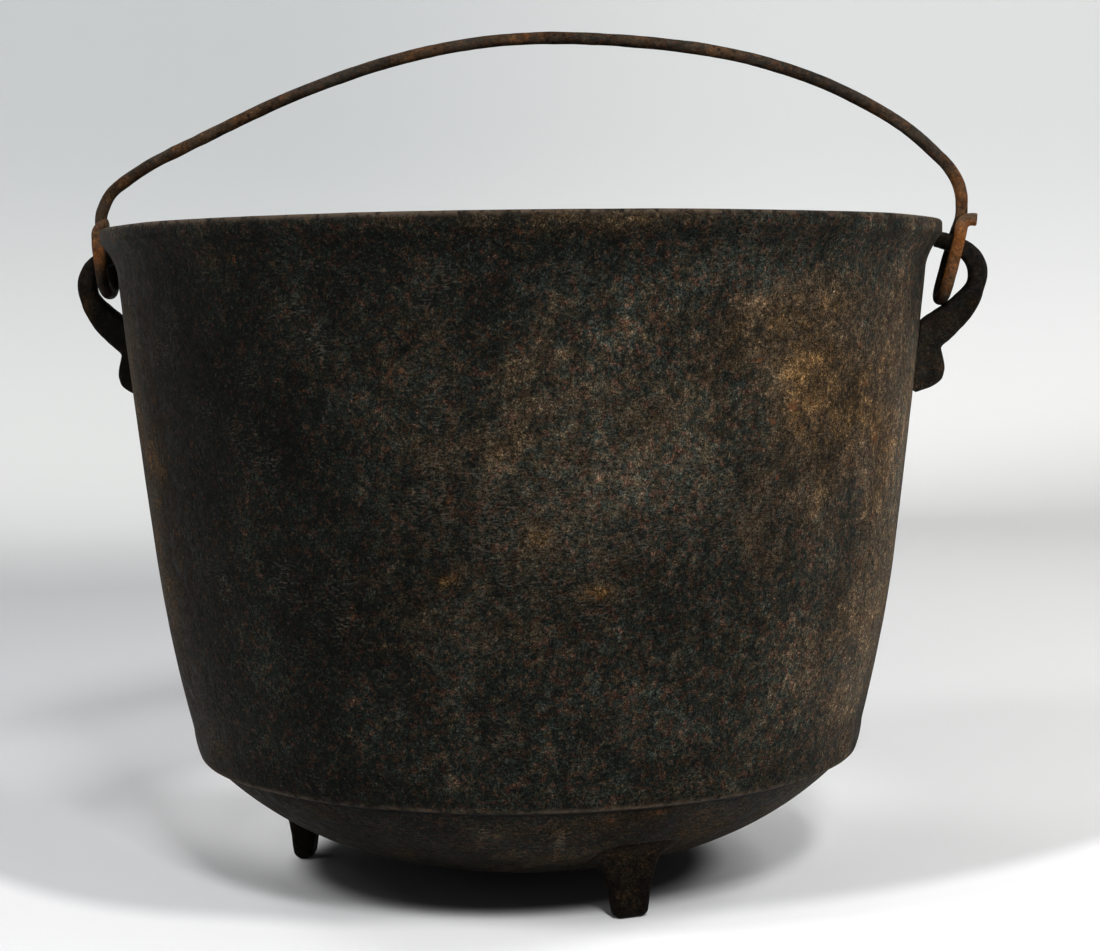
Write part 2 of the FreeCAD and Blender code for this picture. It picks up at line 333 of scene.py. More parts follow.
def add_piece(name: str, vertices: np.ndarray, faces: list[list[int]],
              marks: dict[str, np.ndarray | float]) -> bpy.types.Object:
    """A smooth-shaded mesh object at the origin, with named values at its points.

    Args:
        name: the piece's name.
        vertices: shape (n, 3).
        faces: lists of vertex numbers, outward by the right-hand rule.
        marks: values for each point or one for all, read by the materials.

    Returns:
        The object.
    """
    mesh = bpy.data.meshes.new(name)
    mesh.from_pydata(vertices.tolist(), [], faces)
    for mark, values in marks.items():
        attribute = mesh.attributes.new(mark, "FLOAT", "POINT")
        attribute.data.foreach_set("value", np.full(len(vertices), values, np.float32))
    mesh.polygons.foreach_set("use_smooth", np.ones(len(mesh.polygons), bool))
    mesh.update()
    piece = bpy.data.objects.new(name, mesh)
    bpy.context.scene.collection.objects.link(piece)
    return piece


def dress(piece: bpy.types.Object, material: bpy.types.Material, body: str, node: str) -> None:
    """Gives a piece its finish and its place among the parts.

    Args:
        piece: the piece.
        material: its finish.
        body: the body that it rides on.
        node: the CAD node that it stands for.
    """
    piece.data.materials.append(material)
    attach(piece, body)
    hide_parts(node)
    log.info("%s: %d points, %d faces", piece.name, len(piece.data.vertices), len(piece.data.polygons))


# Shader trees

@dataclass(frozen=True)
class Noise:
    """A noise's settings, and how much it counts where it is summed with others."""

    scale: float
    detail: float
    roughness: float
    distortion: float = 0.0
    weight: float = 1.0


class Tree:
    """Adds nodes to a shader tree and links them."""

    def __init__(self, tree: bpy.types.NodeTree) -> None:
        """Keeps the tree."""
        self.tree = tree

    def feed(self, socket: Socket, source: object) -> None:
        """Links source to the socket, or sets it as the socket's value.

        Args:
            socket: the socket.
            source: another socket, a number, a vector or a colour.
        """
        if isinstance(source, Socket):
            self.tree.links.new(source, socket)
        elif isinstance(source, tuple) and len(source) == 3 and socket.type == "RGBA":
            socket.default_value = (*source, 1.0)
        else:
            socket.default_value = source

    def node(self, kind: str, inputs: dict[str | int, object] | None = None,
             **settings: object) -> bpy.types.Node:
        """A new node.

        Args:
            kind: its type.
            inputs: what each input takes, by the input's name or number.
            settings: the node's own settings.

        Returns:
            The node.
        """
        made = self.tree.nodes.new(kind)
        for key, value in settings.items():
            setattr(made, key, value)
        for key, source in (inputs or {}).items():
            self.feed(made.inputs[key], source)
        return made

    def math(self, operation: str, first: object, second: object = 0.0, clamp: bool = False) -> Socket:
        """The result of a Math node."""
        inputs = {0: first, 1: second}
        return self.node("ShaderNodeMath", inputs, operation=operation, use_clamp=clamp).outputs[0]

    def plus(self, first: object, second: object, clamp: bool = False) -> Socket:
        """The sum of two values."""
        return self.math("ADD", first, second, clamp)

    def less(self, first: object, second: object) -> Socket:
        """The first value less the second."""
        return self.math("SUBTRACT", first, second)

    def times(self, first: object, second: object, clamp: bool = False) -> Socket:
        """The product of two values."""
        return self.math("MULTIPLY", first, second, clamp)

    def remap(self, value: object, span: Span, target: Span = (0.0, 1.0), smooth: bool = True) -> Socket:
        """The value carried from one range to another, held at the ends.

        Args:
            value: the value.
            span: the range that it comes from.
            target: the range that it is carried to.
            smooth: whether it eases in and out.

        Returns:
            The carried value.
        """
        kind = "SMOOTHSTEP" if smooth else "LINEAR"
        inputs = {"Value": value, "From Min": span[0], "From Max": span[1],
                  "To Min": target[0], "To Max": target[1]}
        return self.node("ShaderNodeMapRange", inputs, interpolation_type=kind, clamp=True).outputs["Result"]

    def blend(self, share: object, first: object, second: object) -> Socket:
        """A mix of two colours."""
        return self.node("ShaderNodeMix", {0: share, 6: first, 7: second}, data_type="RGBA").outputs[2]

    def shaded(self, colour: object, level: object) -> Socket:
        """The colour multiplied by a value."""
        return self.node("ShaderNodeVectorMath", {0: colour, "Scale": level}, operation="SCALE").outputs[0]

    def noise(self, place: object, noise: Noise) -> Socket:
        """The value of a noise texture, about 0.5 on the mean.

        Args:
            place: where it is read.
            noise: its settings.

        Returns:
            The value.
        """
        return self.node("ShaderNodeTexNoise", {
            "Vector": place, "Scale": noise.scale, "Detail": noise.detail, "Roughness": noise.roughness,
            "Distortion": noise.distortion}).outputs["Fac"]

    def weighted(self, value: object, noise: Noise) -> Socket:
        """A noise's value less one half, times its weight."""
        return self.times(self.less(value, 0.5), noise.weight)

    def stretched(self, place: object, shares: Point) -> Socket:
        """The place with each axis multiplied by its share."""
        return self.node("ShaderNodeVectorMath", {0: place, 1: shares}, operation="MULTIPLY").outputs[0]

    def distance(self, place: object, point: Point) -> Socket:
        """How far each place is from a point."""
        return self.node("ShaderNodeVectorMath", {0: place, 1: point}, operation="DISTANCE").outputs["Value"]

    def mark(self, name: str) -> Socket:
        """A value that the mesh carries at its points."""
        return self.node("ShaderNodeAttribute", attribute_type="GEOMETRY", attribute_name=name).outputs["Fac"]

    def group(self, group: bpy.types.NodeTree, inputs: dict[str, object]) -> Sockets:
        """The outputs of a placed node group with these inputs."""
        return self.node("ShaderNodeGroup", inputs, node_tree=group).outputs


def new_group(name: str, inputs: tuple[str, ...], outputs: tuple[str, ...]) -> tuple[Tree, Sockets, Sockets]:
    """An empty shader group whose sockets are numbers, but for a vector called Place.

    Args:
        name: the group's name.
        inputs: input names.
        outputs: output names.

    Returns:
        The tree, the values given to the group and the sockets that take its results.
    """
    group = bpy.data.node_groups.new(name, "ShaderNodeTree")
    for way, keys in (("INPUT", inputs), ("OUTPUT", outputs)):
        for key in keys:
            kind = "NodeSocketVector" if key == "Place" else "NodeSocketFloat"
            group.interface.new_socket(name=key, in_out=way, socket_type=kind)
    tree = Tree(group)
    return tree, tree.node("NodeGroupInput").outputs, tree.node("NodeGroupOutput").inputs


def new_material(name: str) -> tuple[bpy.types.Material, Tree]:
    """An empty node material.

    Args:
        name: the material's name.

    Returns:
        The material and its tree.
    """
    material = bpy.data.materials.new(name)
    material.use_nodes = True
    material.node_tree.nodes.clear()
    return material, Tree(material.node_tree)


# Effects that several finishes use, each a shader group

@dataclass(frozen=True)
class CastSkin:
    """Sand-cast skin: how dark or light it is at each place, its hues, its pits and its height.

    Level is e to the power of Contrast times a sum: Bright's part and four noises of different sizes, each
    less one half and times its weight.
    """

    grain: Noise = Noise(2100.0, 2.0, 0.75, weight=7.0)
    clumps: Noise = Noise(720.0, 3.0, 0.7, weight=4.4)
    mottle: Noise = Noise(190.0, 4.0, 0.68, weight=3.5)
    cloud: Noise = Noise(34.0, 5.0, 0.6, weight=3.2)
    cloud_shares: Point = (1.0, 1.0, 0.7)
    warm: Noise = Noise(330.0, 3.0, 0.75)
    red: Noise = Noise(420.0, 3.0, 0.7, 0.3)
    pit_scale: float = 380.0
    pit_place: Noise = Noise(80.0, 3.0, 0.6)
    pit_depths: Span = (0.4, 0.1)
    pit_places: Span = (0.47, 0.6)
    bright_weight: float = 0.42
    grain_height: float = 0.3
    clump_height: float = 0.75
    mottle_height: float = 0.8
    pit_height: float = 0.6

    def build(self) -> bpy.types.NodeTree:
        """Makes the group.

        Returns:
            The group.
        """
        tree, given, result = new_group("cast_skin", ("Place", "Bright", "Contrast"),
                                        ("Level", "Warm", "Red", "Mottle", "Pits", "Height"))
        place = given["Place"]
        grain = tree.noise(place, self.grain)
        clumps = tree.noise(place, self.clumps)
        mottle = tree.noise(place, self.mottle)
        cloud = tree.noise(tree.stretched(place, self.cloud_shares), self.cloud)
        cells = tree.node("ShaderNodeTexVoronoi", {"Vector": place, "Scale": self.pit_scale}, feature="F1")
        deep = tree.remap(cells.outputs["Distance"], self.pit_depths)
        pits = tree.times(deep, tree.remap(tree.noise(place, self.pit_place), self.pit_places))
        # Bright brings in the lighter and darker places that each piece marks, painted light and shade among
        # them.
        total = tree.times(given["Bright"], self.bright_weight)
        noises = (self.grain, self.clumps, self.mottle, self.cloud)
        for value, noise in zip((grain, clumps, mottle, cloud), noises):
            total = tree.plus(total, tree.weighted(value, noise))
        height = tree.plus(tree.times(grain, self.grain_height), tree.times(clumps, self.clump_height))
        height = tree.plus(height, tree.times(mottle, self.mottle_height))
        tree.feed(result["Level"], tree.math("EXPONENT", tree.times(total, given["Contrast"])))
        tree.feed(result["Warm"], tree.noise(place, self.warm))
        tree.feed(result["Red"], tree.noise(place, self.red))
        tree.feed(result["Mottle"], mottle)
        tree.feed(result["Pits"], pits)
        tree.feed(result["Height"], tree.less(height, tree.times(pits, self.pit_height)))
        return tree.tree


@dataclass(frozen=True)
class RustBloom:
    """Rust: brown stain in broad patches, ochre in their middles, small orange spots and pale flecks.

    Stain and ochre are two noises' weighted sum, lifted by Amount and broken by a finer noise, past a
    threshold each.
    """

    broad: Noise = Noise(36.0, 6.0, 0.66, 0.25, 0.6)
    middle: Noise = Noise(95.0, 6.0, 0.7, weight=0.4)
    fine: Noise = Noise(520.0, 3.0, 0.7, weight=0.34)
    small: Noise = Noise(210.0, 4.0, 0.6)
    fleck: Noise = Noise(900.0, 2.0, 0.5)
    amount_weight: float = 0.32
    spot_weight: float = 0.12
    stain_span: Span = (0.47, 0.66)
    ochre_span: Span = (0.62, 0.8)
    spot_span: Span = (0.62, 0.78)
    spot_places: Span = (0.46, 0.6)
    fleck_span: Span = (0.64, 0.74)

    def build(self) -> bpy.types.NodeTree:
        """Makes the group.

        Returns:
            The group.
        """
        tree, given, result = new_group("rust_bloom", ("Place", "Amount"),
                                        ("Stain", "Ochre", "Spots", "Flecks"))
        place = given["Place"]
        amount = given["Amount"]
        middle = tree.noise(place, self.middle)
        field = tree.plus(tree.times(tree.noise(place, self.broad), self.broad.weight),
                          tree.times(middle, self.middle.weight))
        lifted = tree.plus(field, tree.times(amount, self.amount_weight))
        broken = tree.plus(lifted, tree.weighted(tree.noise(place, self.fine), self.fine))
        spotted = tree.plus(tree.noise(place, self.small), tree.times(amount, self.spot_weight))
        tree.feed(result["Stain"], tree.remap(broken, self.stain_span))
        tree.feed(result["Ochre"], tree.remap(broken, self.ochre_span))
        tree.feed(result["Spots"], tree.times(tree.remap(spotted, self.spot_span),
                                              tree.remap(middle, self.spot_places)))
        tree.feed(result["Flecks"], tree.remap(tree.noise(place, self.fleck), self.fleck_span))
        return tree.tree


@dataclass(frozen=True)
class BrushStrokes:
    """Short level strokes of a wire brush, where a broad noise and Amount let them be."""

    lines: Noise = Noise(1900.0, 2.0, 0.6)
    line_shares: Point = (0.3, 0.3, 1.0)
    line_span: Span = (0.53, 0.66)
    where: Noise = Noise(48.0, 3.0, 0.6)
    amount_weight: float = 0.3
    allowed_span: Span = (0.5, 0.72)

    def build(self) -> bpy.types.NodeTree:
        """Makes the group.

        Returns:
            The group.
        """
        tree, given, result = new_group("brush_strokes", ("Place", "Amount"), ("Strokes",))
        lines = tree.noise(tree.stretched(given["Place"], self.line_shares), self.lines)
        where = tree.noise(given["Place"], self.where)
        where = tree.plus(where, tree.times(given["Amount"], self.amount_weight))
        allowed = tree.remap(where, self.allowed_span)
        tree.feed(result["Strokes"], tree.times(tree.remap(lines, self.line_span), allowed))
        return tree.tree


@dataclass(frozen=True)
class EdgeRubAndHighlight:
    """Wear along an edge, and on the shell's rim and step a painted highlight too: the mesh's edge value,
    broken up by a fine noise times a broad one.
    """

    fine: Noise = Noise(260.0, 4.0, 0.65)
    broad: Noise = Noise(18.0, 2.0, 0.5)
    broad_lift: float = 0.45
    span: Span = (0.34, 0.6)

    def build(self) -> bpy.types.NodeTree:
        """Makes the group.

        Returns:
            The group.
        """
        tree, given, result = new_group("edge_rub_and_highlight", ("Place", "Edge"), ("Rub",))
        broad = tree.plus(tree.noise(given["Place"], self.broad), self.broad_lift)
        both = tree.times(tree.noise(given["Place"], self.fine), broad)
        tree.feed(result["Rub"], tree.times(tree.remap(both, self.span), given["Edge"], True))
        return tree.tree


class SharedEffects:
    """The shader groups of the effects, each built once."""

    def __init__(self) -> None:
        """Builds them."""
        self.skin = CastSkin().build()
        self.bloom = RustBloom().build()
        self.strokes = BrushStrokes().build()
        self.rub = EdgeRubAndHighlight().build()


@dataclass(frozen=True)
class IronFinish:
    """Old iron: the colours of its skin, stain, rust and worn edges (on the shell's rim and step also a
    painted highlight), and how much of each shows.
    """

    name: str
    grey: Colour
    warm: Colour
    red: Colour
    stain: Colour
    ochre: Colour
    rust: Colour
    pale: Colour
    rub_and_highlight: Colour
    pit: Colour = (0.004, 0.0037, 0.003)
    contrast: float = 1.0
    bright_warmth: float = 0.02
    rust_warmth: float = 0.08
    warm_span: Span = (0.47, 0.60)
    red_span: Span = (0.53, 0.60)
    red_share: float = 0.8
    stain_share: float = 0.8
    ochre_share: float = 0.75
    spot_share: float = 0.9
    stroke_share: float = 0.5
    fleck_share: float = 0.35
    pit_share: float = 0.75
    darkening_share: float = 0.8
    roughness: Span = (0.55, 0.85)
    mottle_span: Span = (0.35, 0.65)
    stain_roughness: float = 0.12
    relief: float = 0.0003
    stain_relief: float = 0.18
    stroke_relief: float = 0.1
    specular: float = 0.035

    def build(self, effects: SharedEffects) -> bpy.types.Material:
        """The finish as a material.

        Args:
            effects: the shared shader groups.

        Returns:
            The material.
        """
        material, tree = new_material(self.name)
        place = tree.node("ShaderNodeTexCoord").outputs["Object"]
        bright = tree.mark("bright")
        rust = tree.mark("rust")
        skin = tree.group(effects.skin, {"Place": place, "Bright": bright, "Contrast": self.contrast})
        bloom = tree.group(effects.bloom, {"Place": place, "Amount": rust})
        strokes = tree.group(effects.strokes, {"Place": place, "Amount": tree.mark("wear")})["Strokes"]
        rub = tree.group(effects.rub, {"Place": place, "Edge": tree.mark("edge")})["Rub"]

        warmth = tree.plus(skin["Warm"], tree.times(bright, self.bright_warmth))
        warmth = tree.plus(warmth, tree.times(rust, self.rust_warmth))
        hue = tree.blend(tree.remap(warmth, self.warm_span), self.grey, self.warm)
        hue = tree.blend(tree.times(tree.remap(skin["Red"], self.red_span), self.red_share), hue, self.red)
        hue = tree.blend(tree.times(bloom["Stain"], self.stain_share), hue, self.stain)
        hue = tree.blend(tree.times(bloom["Ochre"], self.ochre_share), hue, self.ochre)
        base = tree.shaded(hue, skin["Level"])
        base = tree.blend(tree.times(bloom["Spots"], self.spot_share), base, self.rust)
        base = tree.blend(tree.times(strokes, self.stroke_share), base, self.pale)
        base = tree.blend(tree.times(bloom["Flecks"], self.fleck_share), base, self.pale)
        # Worn edges, with the painted highlight along the shell's rim and step.
        base = tree.blend(rub, base, self.rub_and_highlight)
        base = tree.blend(tree.times(skin["Pits"], self.pit_share), base, self.pit)
        # Darkening: painted shade under the belly, below the step and on the hooks in and behind the ears'
        # eyes; the feet and ears are darker all over.
        base = tree.shaded(base, tree.less(1.0, tree.times(tree.mark("darkening"), self.darkening_share)))

        rough = tree.remap(skin["Mottle"], self.mottle_span, self.roughness, False)
        rough = tree.plus(rough, tree.times(bloom["Stain"], self.stain_roughness), True)
        height = tree.plus(skin["Height"], tree.times(bloom["Stain"], self.stain_relief))
        height = tree.plus(height, tree.times(strokes, self.stroke_relief))
        bump = tree.node("ShaderNodeBump", {"Height": height, "Strength": 1.0, "Distance": self.relief})
        shader = tree.node("ShaderNodeBsdfPrincipled", {
            "Base Color": base, "Roughness": rough, "Normal": bump.outputs[0], "Metallic": 0.0,
            "Specular IOR Level": self.specular})
        tree.node("ShaderNodeOutputMaterial", {"Surface": shader.outputs[0]})
        return material


POT_IRON = IronFinish(
    "old_cast_iron",
    grey=(0.0062, 0.0073, 0.0059), warm=(0.0140, 0.0108, 0.0066), red=(0.0195, 0.0098, 0.0064),
    stain=(0.0180, 0.0120, 0.0068), ochre=(0.0370, 0.0205, 0.0074), rust=(0.075, 0.026, 0.010),
    pale=(0.055, 0.048, 0.036), rub_and_highlight=(0.084, 0.062, 0.043))
EAR_IRON = IronFinish(
    "ear_cast_iron",
    grey=(0.0040, 0.0040, 0.0034), warm=(0.0072, 0.0055, 0.0036), red=(0.0100, 0.0056, 0.0036),
    stain=(0.010, 0.0064, 0.0036), ochre=(0.028, 0.015, 0.0066), rust=(0.06, 0.024, 0.008),
    pale=(0.024, 0.020, 0.015), rub_and_highlight=(0.022, 0.017, 0.012), contrast=0.8, stroke_share=0.1)
FOOT_IRON = IronFinish(
    "foot_cast_iron",
    grey=(0.0020, 0.0019, 0.0016), warm=(0.0036, 0.0027, 0.0018), red=(0.0050, 0.0028, 0.0018),
    stain=(0.0048, 0.0031, 0.0018), ochre=(0.010, 0.0055, 0.0025), rust=(0.03, 0.011, 0.004),
    pale=(0.03, 0.026, 0.02), rub_and_highlight=(0.012, 0.009, 0.007), stroke_share=0.1)
WIRE_IRON = IronFinish(
    "rusty_wire",
    grey=(0.0125, 0.0108, 0.0084), warm=(0.022, 0.0150, 0.0085), red=(0.036, 0.0150, 0.0078),
    stain=(0.034, 0.0160, 0.0060), ochre=(0.092, 0.0310, 0.0058), rust=(0.125, 0.040, 0.0095),
    pale=(0.060, 0.050, 0.038), rub_and_highlight=(0.078, 0.060, 0.042), contrast=0.7, relief=0.00012, stroke_share=0.15,
    fleck_share=0.15, roughness=(0.45, 0.75), specular=0.05)


# The casting

@dataclass(frozen=True)
class Patch:
    """A place on the wall where rust, wear or brightness gathers; the brightness patches hold both the iron's
    own tone and painted light and shade.

    The azimuth is in degrees from the front towards +X, the sizes in metres.
    """

    azimuth: float
    height: float
    width: float
    tall: float
    strength: float


def patches(*rows: tuple[float, float, float, float, float]) -> tuple[Patch, ...]:
    """Patches from rows of azimuth, height, width, tall and strength."""
    return tuple(Patch(*row) for row in rows)


def patches_at(places: tuple[Patch, ...], azimuth: np.ndarray, height: np.ndarray,
               radius: float) -> np.ndarray:
    """The sum of the patches' bell curves at each place.

    Args:
        places: the patches.
        azimuth: degrees from the front towards +X.
        height: height of each place.
        radius: mean radius, which turns degrees into lengths.

    Returns:
        A value for each place.
    """
    total = np.zeros_like(height)
    for patch in places:
        around = np.radians((azimuth - patch.azimuth + 180.0) % 360.0 - 180.0) * radius
        above = height - patch.height
        total += patch.strength * np.exp(-(around / patch.width) ** 2 - (above / patch.tall) ** 2)
    return total


RUST_PATCHES = patches(
    (47.0, 0.170, 0.022, 0.022, 0.70), (50.0, 0.135, 0.030, 0.030, 0.20), (66.0, 0.165, 0.014, 0.03, 0.4),
    (-34.5, 0.206, 0.010, 0.005, 0.8), (-30.4, 0.0366, 0.008, 0.004, 0.8), (8.8, 0.126, 0.005, 0.005, 0.8),
    (26.0, 0.0400, 0.020, 0.004, 0.5), (22.0, 0.033, 0.018, 0.008, 0.4), (43.0, 0.026, 0.014, 0.008, 0.5),
    (-24.0, 0.021, 0.012, 0.004, 0.6), (28.0, 0.110, 0.04, 0.04, -0.2), (58.0, 0.202, 0.04, 0.012, 0.3),
    (12.0, 0.214, 0.04, 0.006, 0.6), (150.0, 0.12, 0.05, 0.05, 0.4), (-140.0, 0.15, 0.05, 0.04, 0.4),
    (180.0, 0.07, 0.06, 0.03, 0.3), (95.0, 0.08, 0.04, 0.04, 0.3), (-90.0, 0.11, 0.05, 0.05, 0.15),
    (-34.0, 0.12, 0.04, 0.09, -0.4), (0.0, 0.065, 0.13, 0.022, -0.35), (5.0, 0.204, 0.16, 0.009, -0.6),
    (-60.0, 0.125, 0.024, 0.07, 0.50), (68.0, 0.10, 0.02, 0.06, 0.25), (-3.5, 0.113, 0.003, 0.002, 1.2),
    (16.5, 0.108, 0.006, 0.003, 0.9), (1.5, 0.150, 0.012, 0.006, 0.4))
# The wall's lighter and darker places: partly the iron's own tone, partly painted light. The tall band at 75°
# on the right is painted sheen where light grazes the wall, the patches past 90° blend it into the back, the
# darker patches on the left near -22° to -43° are painted shade, and the patch at 16° is partly a painted
# highlight.
TONE_AND_PAINTED_LIGHT_PATCHES = patches(
    (16.0, 0.143, 0.026, 0.022, 1.7), (48.0, 0.155, 0.035, 0.045, 0.3), (75.0, 0.13, 0.030, 0.085, 3.4),
    (9.0, 0.168, 0.03, 0.015, 0.6), (10.0, 0.095, 0.02, 0.02, 0.7), (-10.0, 0.086, 0.03, 0.015, -0.5),
    (30.0, 0.095, 0.022, 0.02, -0.8), (-40.0, 0.11, 0.07, 0.09, -1.7), (-22.0, 0.110, 0.018, 0.02, -1.0),
    (-38.0, 0.170, 0.04, 0.025, -1.6), (3.0, 0.182, 0.025, 0.012, -1.0), (36.0, 0.199, 0.05, 0.009, 1.2),
    (52.0, 0.068, 0.045, 0.026, 1.8), (57.0, 0.180, 0.02, 0.015, 1.2), (34.0, 0.165, 0.03, 0.022, 0.8),
    (-8.0, 0.145, 0.03, 0.012, -1.1), (-5.0, 0.045, 0.09, 0.008, -0.7), (-4.4, 0.051, 0.0025, 0.0025, 4.0),
    (12.5, 0.029, 0.002, 0.004, 3.5), (26.0, 0.195, 0.02, 0.012, 1.2), (-66.0, 0.13, 0.02, 0.08, 1.6),
    (0.0, 0.203, 0.2, 0.012, -1.0), (170.0, 0.15, 0.06, 0.04, 0.6), (-150.0, 0.09, 0.05, 0.04, -0.5),
    (110.0, 0.12, 0.05, 0.06, 1.5), (140.0, 0.09, 0.05, 0.05, 0.7), (-98.0, 0.12, 0.05, 0.06, 0.9),
    (-43.0, 0.187, 0.024, 0.020, -1.0), (-22.0, 0.12, 0.016, 0.06, -0.5), (-24.0, 0.154, 0.015, 0.012, -0.6),
    (60.0, 0.204, 0.018, 0.010, 1.6), (42.0, 0.183, 0.012, 0.012, -0.9), (18.0, 0.159, 0.012, 0.008, -0.9),
    (-33.0, 0.046, 0.016, 0.010, -0.9), (10.0, 0.046, 0.014, 0.010, -0.9), (48.0, 0.157, 0.016, 0.024, 0.8),
    (58.0, 0.108, 0.012, 0.012, -0.9))
STROKE_PATCHES = patches(
    (20.0, 0.140, 0.045, 0.020, 1.0), (11.0, 0.110, 0.04, 0.02, 0.5), (44.0, 0.15, 0.03, 0.04, 0.3),
    (-20.0, 0.18, 0.05, 0.02, 0.25), (200.0, 0.13, 0.06, 0.03, 0.7))


@dataclass
class PotShell:
    """The open vessel: flared rim, tapering wall, step and round belly, turned about the pot's axis."""

    floor_height: float = 0.005
    flat_radius: float = 0.0367
    flat_rise: float = 0.00165
    belly_radius: float = 0.108
    belly_height: float = 0.041
    belly_bow: float = 0.00718
    step_radius: float = 0.1114
    step_height: float = 0.0422
    foot_radius: float = 0.1136
    foot_height: float = 0.052
    corner_bow: float = 0.0004
    waist_radius: float = 0.1251
    waist_height: float = 0.115
    lower_bow: float = 0.0011
    shoulder_radius: float = 0.1347
    shoulder_height: float = 0.203
    upper_bow: float = 0.0003
    flare_height: float = 0.2129
    flare_hollow: float = 0.0008
    rim_radius: float = 0.140
    rim_height: float = 0.2175
    rim_edge: float = 0.0011
    wall: float = 0.004
    floor_wall: float = 0.0045
    columns: int = 376
    arc_points: int = 160
    fine_gap: float = 0.00018
    edge_passes: int = 6
    outer_gap: float = 0.0021
    inner_gap: float = 0.0062
    rim_crowd: float = 5.0
    flare_crowd: float = 1.4
    step_crowd: float = 4.5
    edge_reach: float = 0.004
    flare_reach: float = 0.008
    flare_lift: float = 0.004
    step_start: float = 0.1
    casting: tuple[Waves, ...] = (Waves(0.055, 0.00010, 3), Waves(0.012, 0.000025, 4))
    mean_radius: float = 0.125
    inside_rust: float = 0.35
    inside_bright: float = -0.2
    under_shade_depth: float = 0.03
    under_shade_level: float = 0.55
    rim_rub_and_highlight: float = 0.9
    rim_rub_and_highlight_reach: float = 0.0011
    step_rub_and_highlight: float = 0.6
    step_rub_and_highlight_reach: float = 0.0009
    step_rub_and_highlight_width: float = 0.0012
    step_shadow_offset: float = 0.0008
    step_shadow_width: float = 0.0016
    step_shadow_reach: float = 0.003

    @property
    def edge_bow(self) -> float:
        """Bow of the quarter circle at the rim's edges."""
        return self.rim_edge * (1 - math.sqrt(0.5))

    @property
    def flat_bow(self) -> float:
        """Bow of the belly's nearly flat middle."""
        return self.flat_rise / 4

    def outside(self) -> np.ndarray:
        """The outside's section.

        Returns:
            Points from the rim's top down to the axis, as radius and height.
        """
        places = [
            (self.rim_radius - self.rim_edge, self.rim_height),
            (self.rim_radius, self.rim_height - self.rim_edge),
            (self.rim_radius, self.flare_height),
            (self.shoulder_radius, self.shoulder_height),
            (self.waist_radius, self.waist_height),
            (self.foot_radius, self.foot_height),
            (self.step_radius, self.step_height),
            (self.belly_radius, self.belly_height),
            (self.flat_radius, self.floor_height + self.flat_rise),
            (0.0, self.floor_height),
        ]
        bows = [-self.edge_bow, 0.0, self.flare_hollow, -self.upper_bow, -self.lower_bow, -self.corner_bow,
                0.0, -self.belly_bow, -self.flat_bow]
        return arcs_through(places, bows, self.arc_points)

    def inside(self) -> np.ndarray:
        """The inside's section.

        Returns:
            Points from the axis up to the rim's top, as radius and height.
        """
        floor = self.floor_height + self.floor_wall
        places = [
            (0.0, floor),
            (self.flat_radius, floor + self.flat_rise),
            (self.belly_radius - self.wall, self.belly_height),
            (self.foot_radius - self.wall, self.foot_height),
            (self.waist_radius - self.wall, self.waist_height),
            (self.shoulder_radius - self.wall, self.shoulder_height),
            (self.rim_radius - self.wall, self.flare_height),
            (self.rim_radius - self.wall, self.rim_height - self.rim_edge),
            (self.rim_radius - self.wall + self.rim_edge, self.rim_height),
        ]
        bows = [self.flat_bow, self.belly_bow, 0.0, self.lower_bow, self.upper_bow, -self.flare_hollow, 0.0,
                -self.edge_bow]
        return arcs_through(places, bows, self.arc_points)

    def underside(self, radius: np.ndarray) -> np.ndarray:
        """Height of the belly's underside.

        Args:
            radius: places' distances from the axis.

        Returns:
            The height at each place.
        """
        line = self.outside()
        below = line[line[:, 1] < self.belly_height][::-1]
        return np.interp(radius, below[:, 0], below[:, 1])

    def wall_radius(self, height: np.ndarray) -> np.ndarray:
        """Radius of the wall's outside.

        Args:
            height: places' heights above the ground.

        Returns:
            The radius at each place.
        """
        line = self.outside()
        above = line[line[:, 1] > self.foot_height][::-1]
        return np.interp(height, above[:, 1], above[:, 0])

    def section(self) -> np.ndarray:
        """The closed section from the inside's middle over the rim to the outside's middle.

        The distance between its points is a wide gap divided by 1 plus the crowding near the sharp forms,
        each of which adds a bell curve about its height.

        Returns:
            Points of shape (n, 2), as radius and height.
        """
        inner = spaced(self.inside(), self.fine_gap)
        outer = spaced(self.outside(), self.fine_gap)
        line = smooth_line(np.concatenate([inner, outer]), self.edge_passes)
        height = line[:, 1]
        is_outer = np.arange(len(line)) >= len(inner)
        near_rim = bell(height, self.rim_height, self.edge_reach)
        near_flare = bell(height - self.shoulder_height, self.flare_lift, self.flare_reach) * is_outer
        is_wall = is_outer * (line[:, 0] > self.step_start)
        near_step = bell(height, self.step_height, self.edge_reach) * is_wall
        wide = np.where(is_outer, self.outer_gap, self.inner_gap)
        crowding = 1 + self.rim_crowd * near_rim + self.flare_crowd * near_flare + self.step_crowd * near_step
        return spaced(line, wide / crowding)

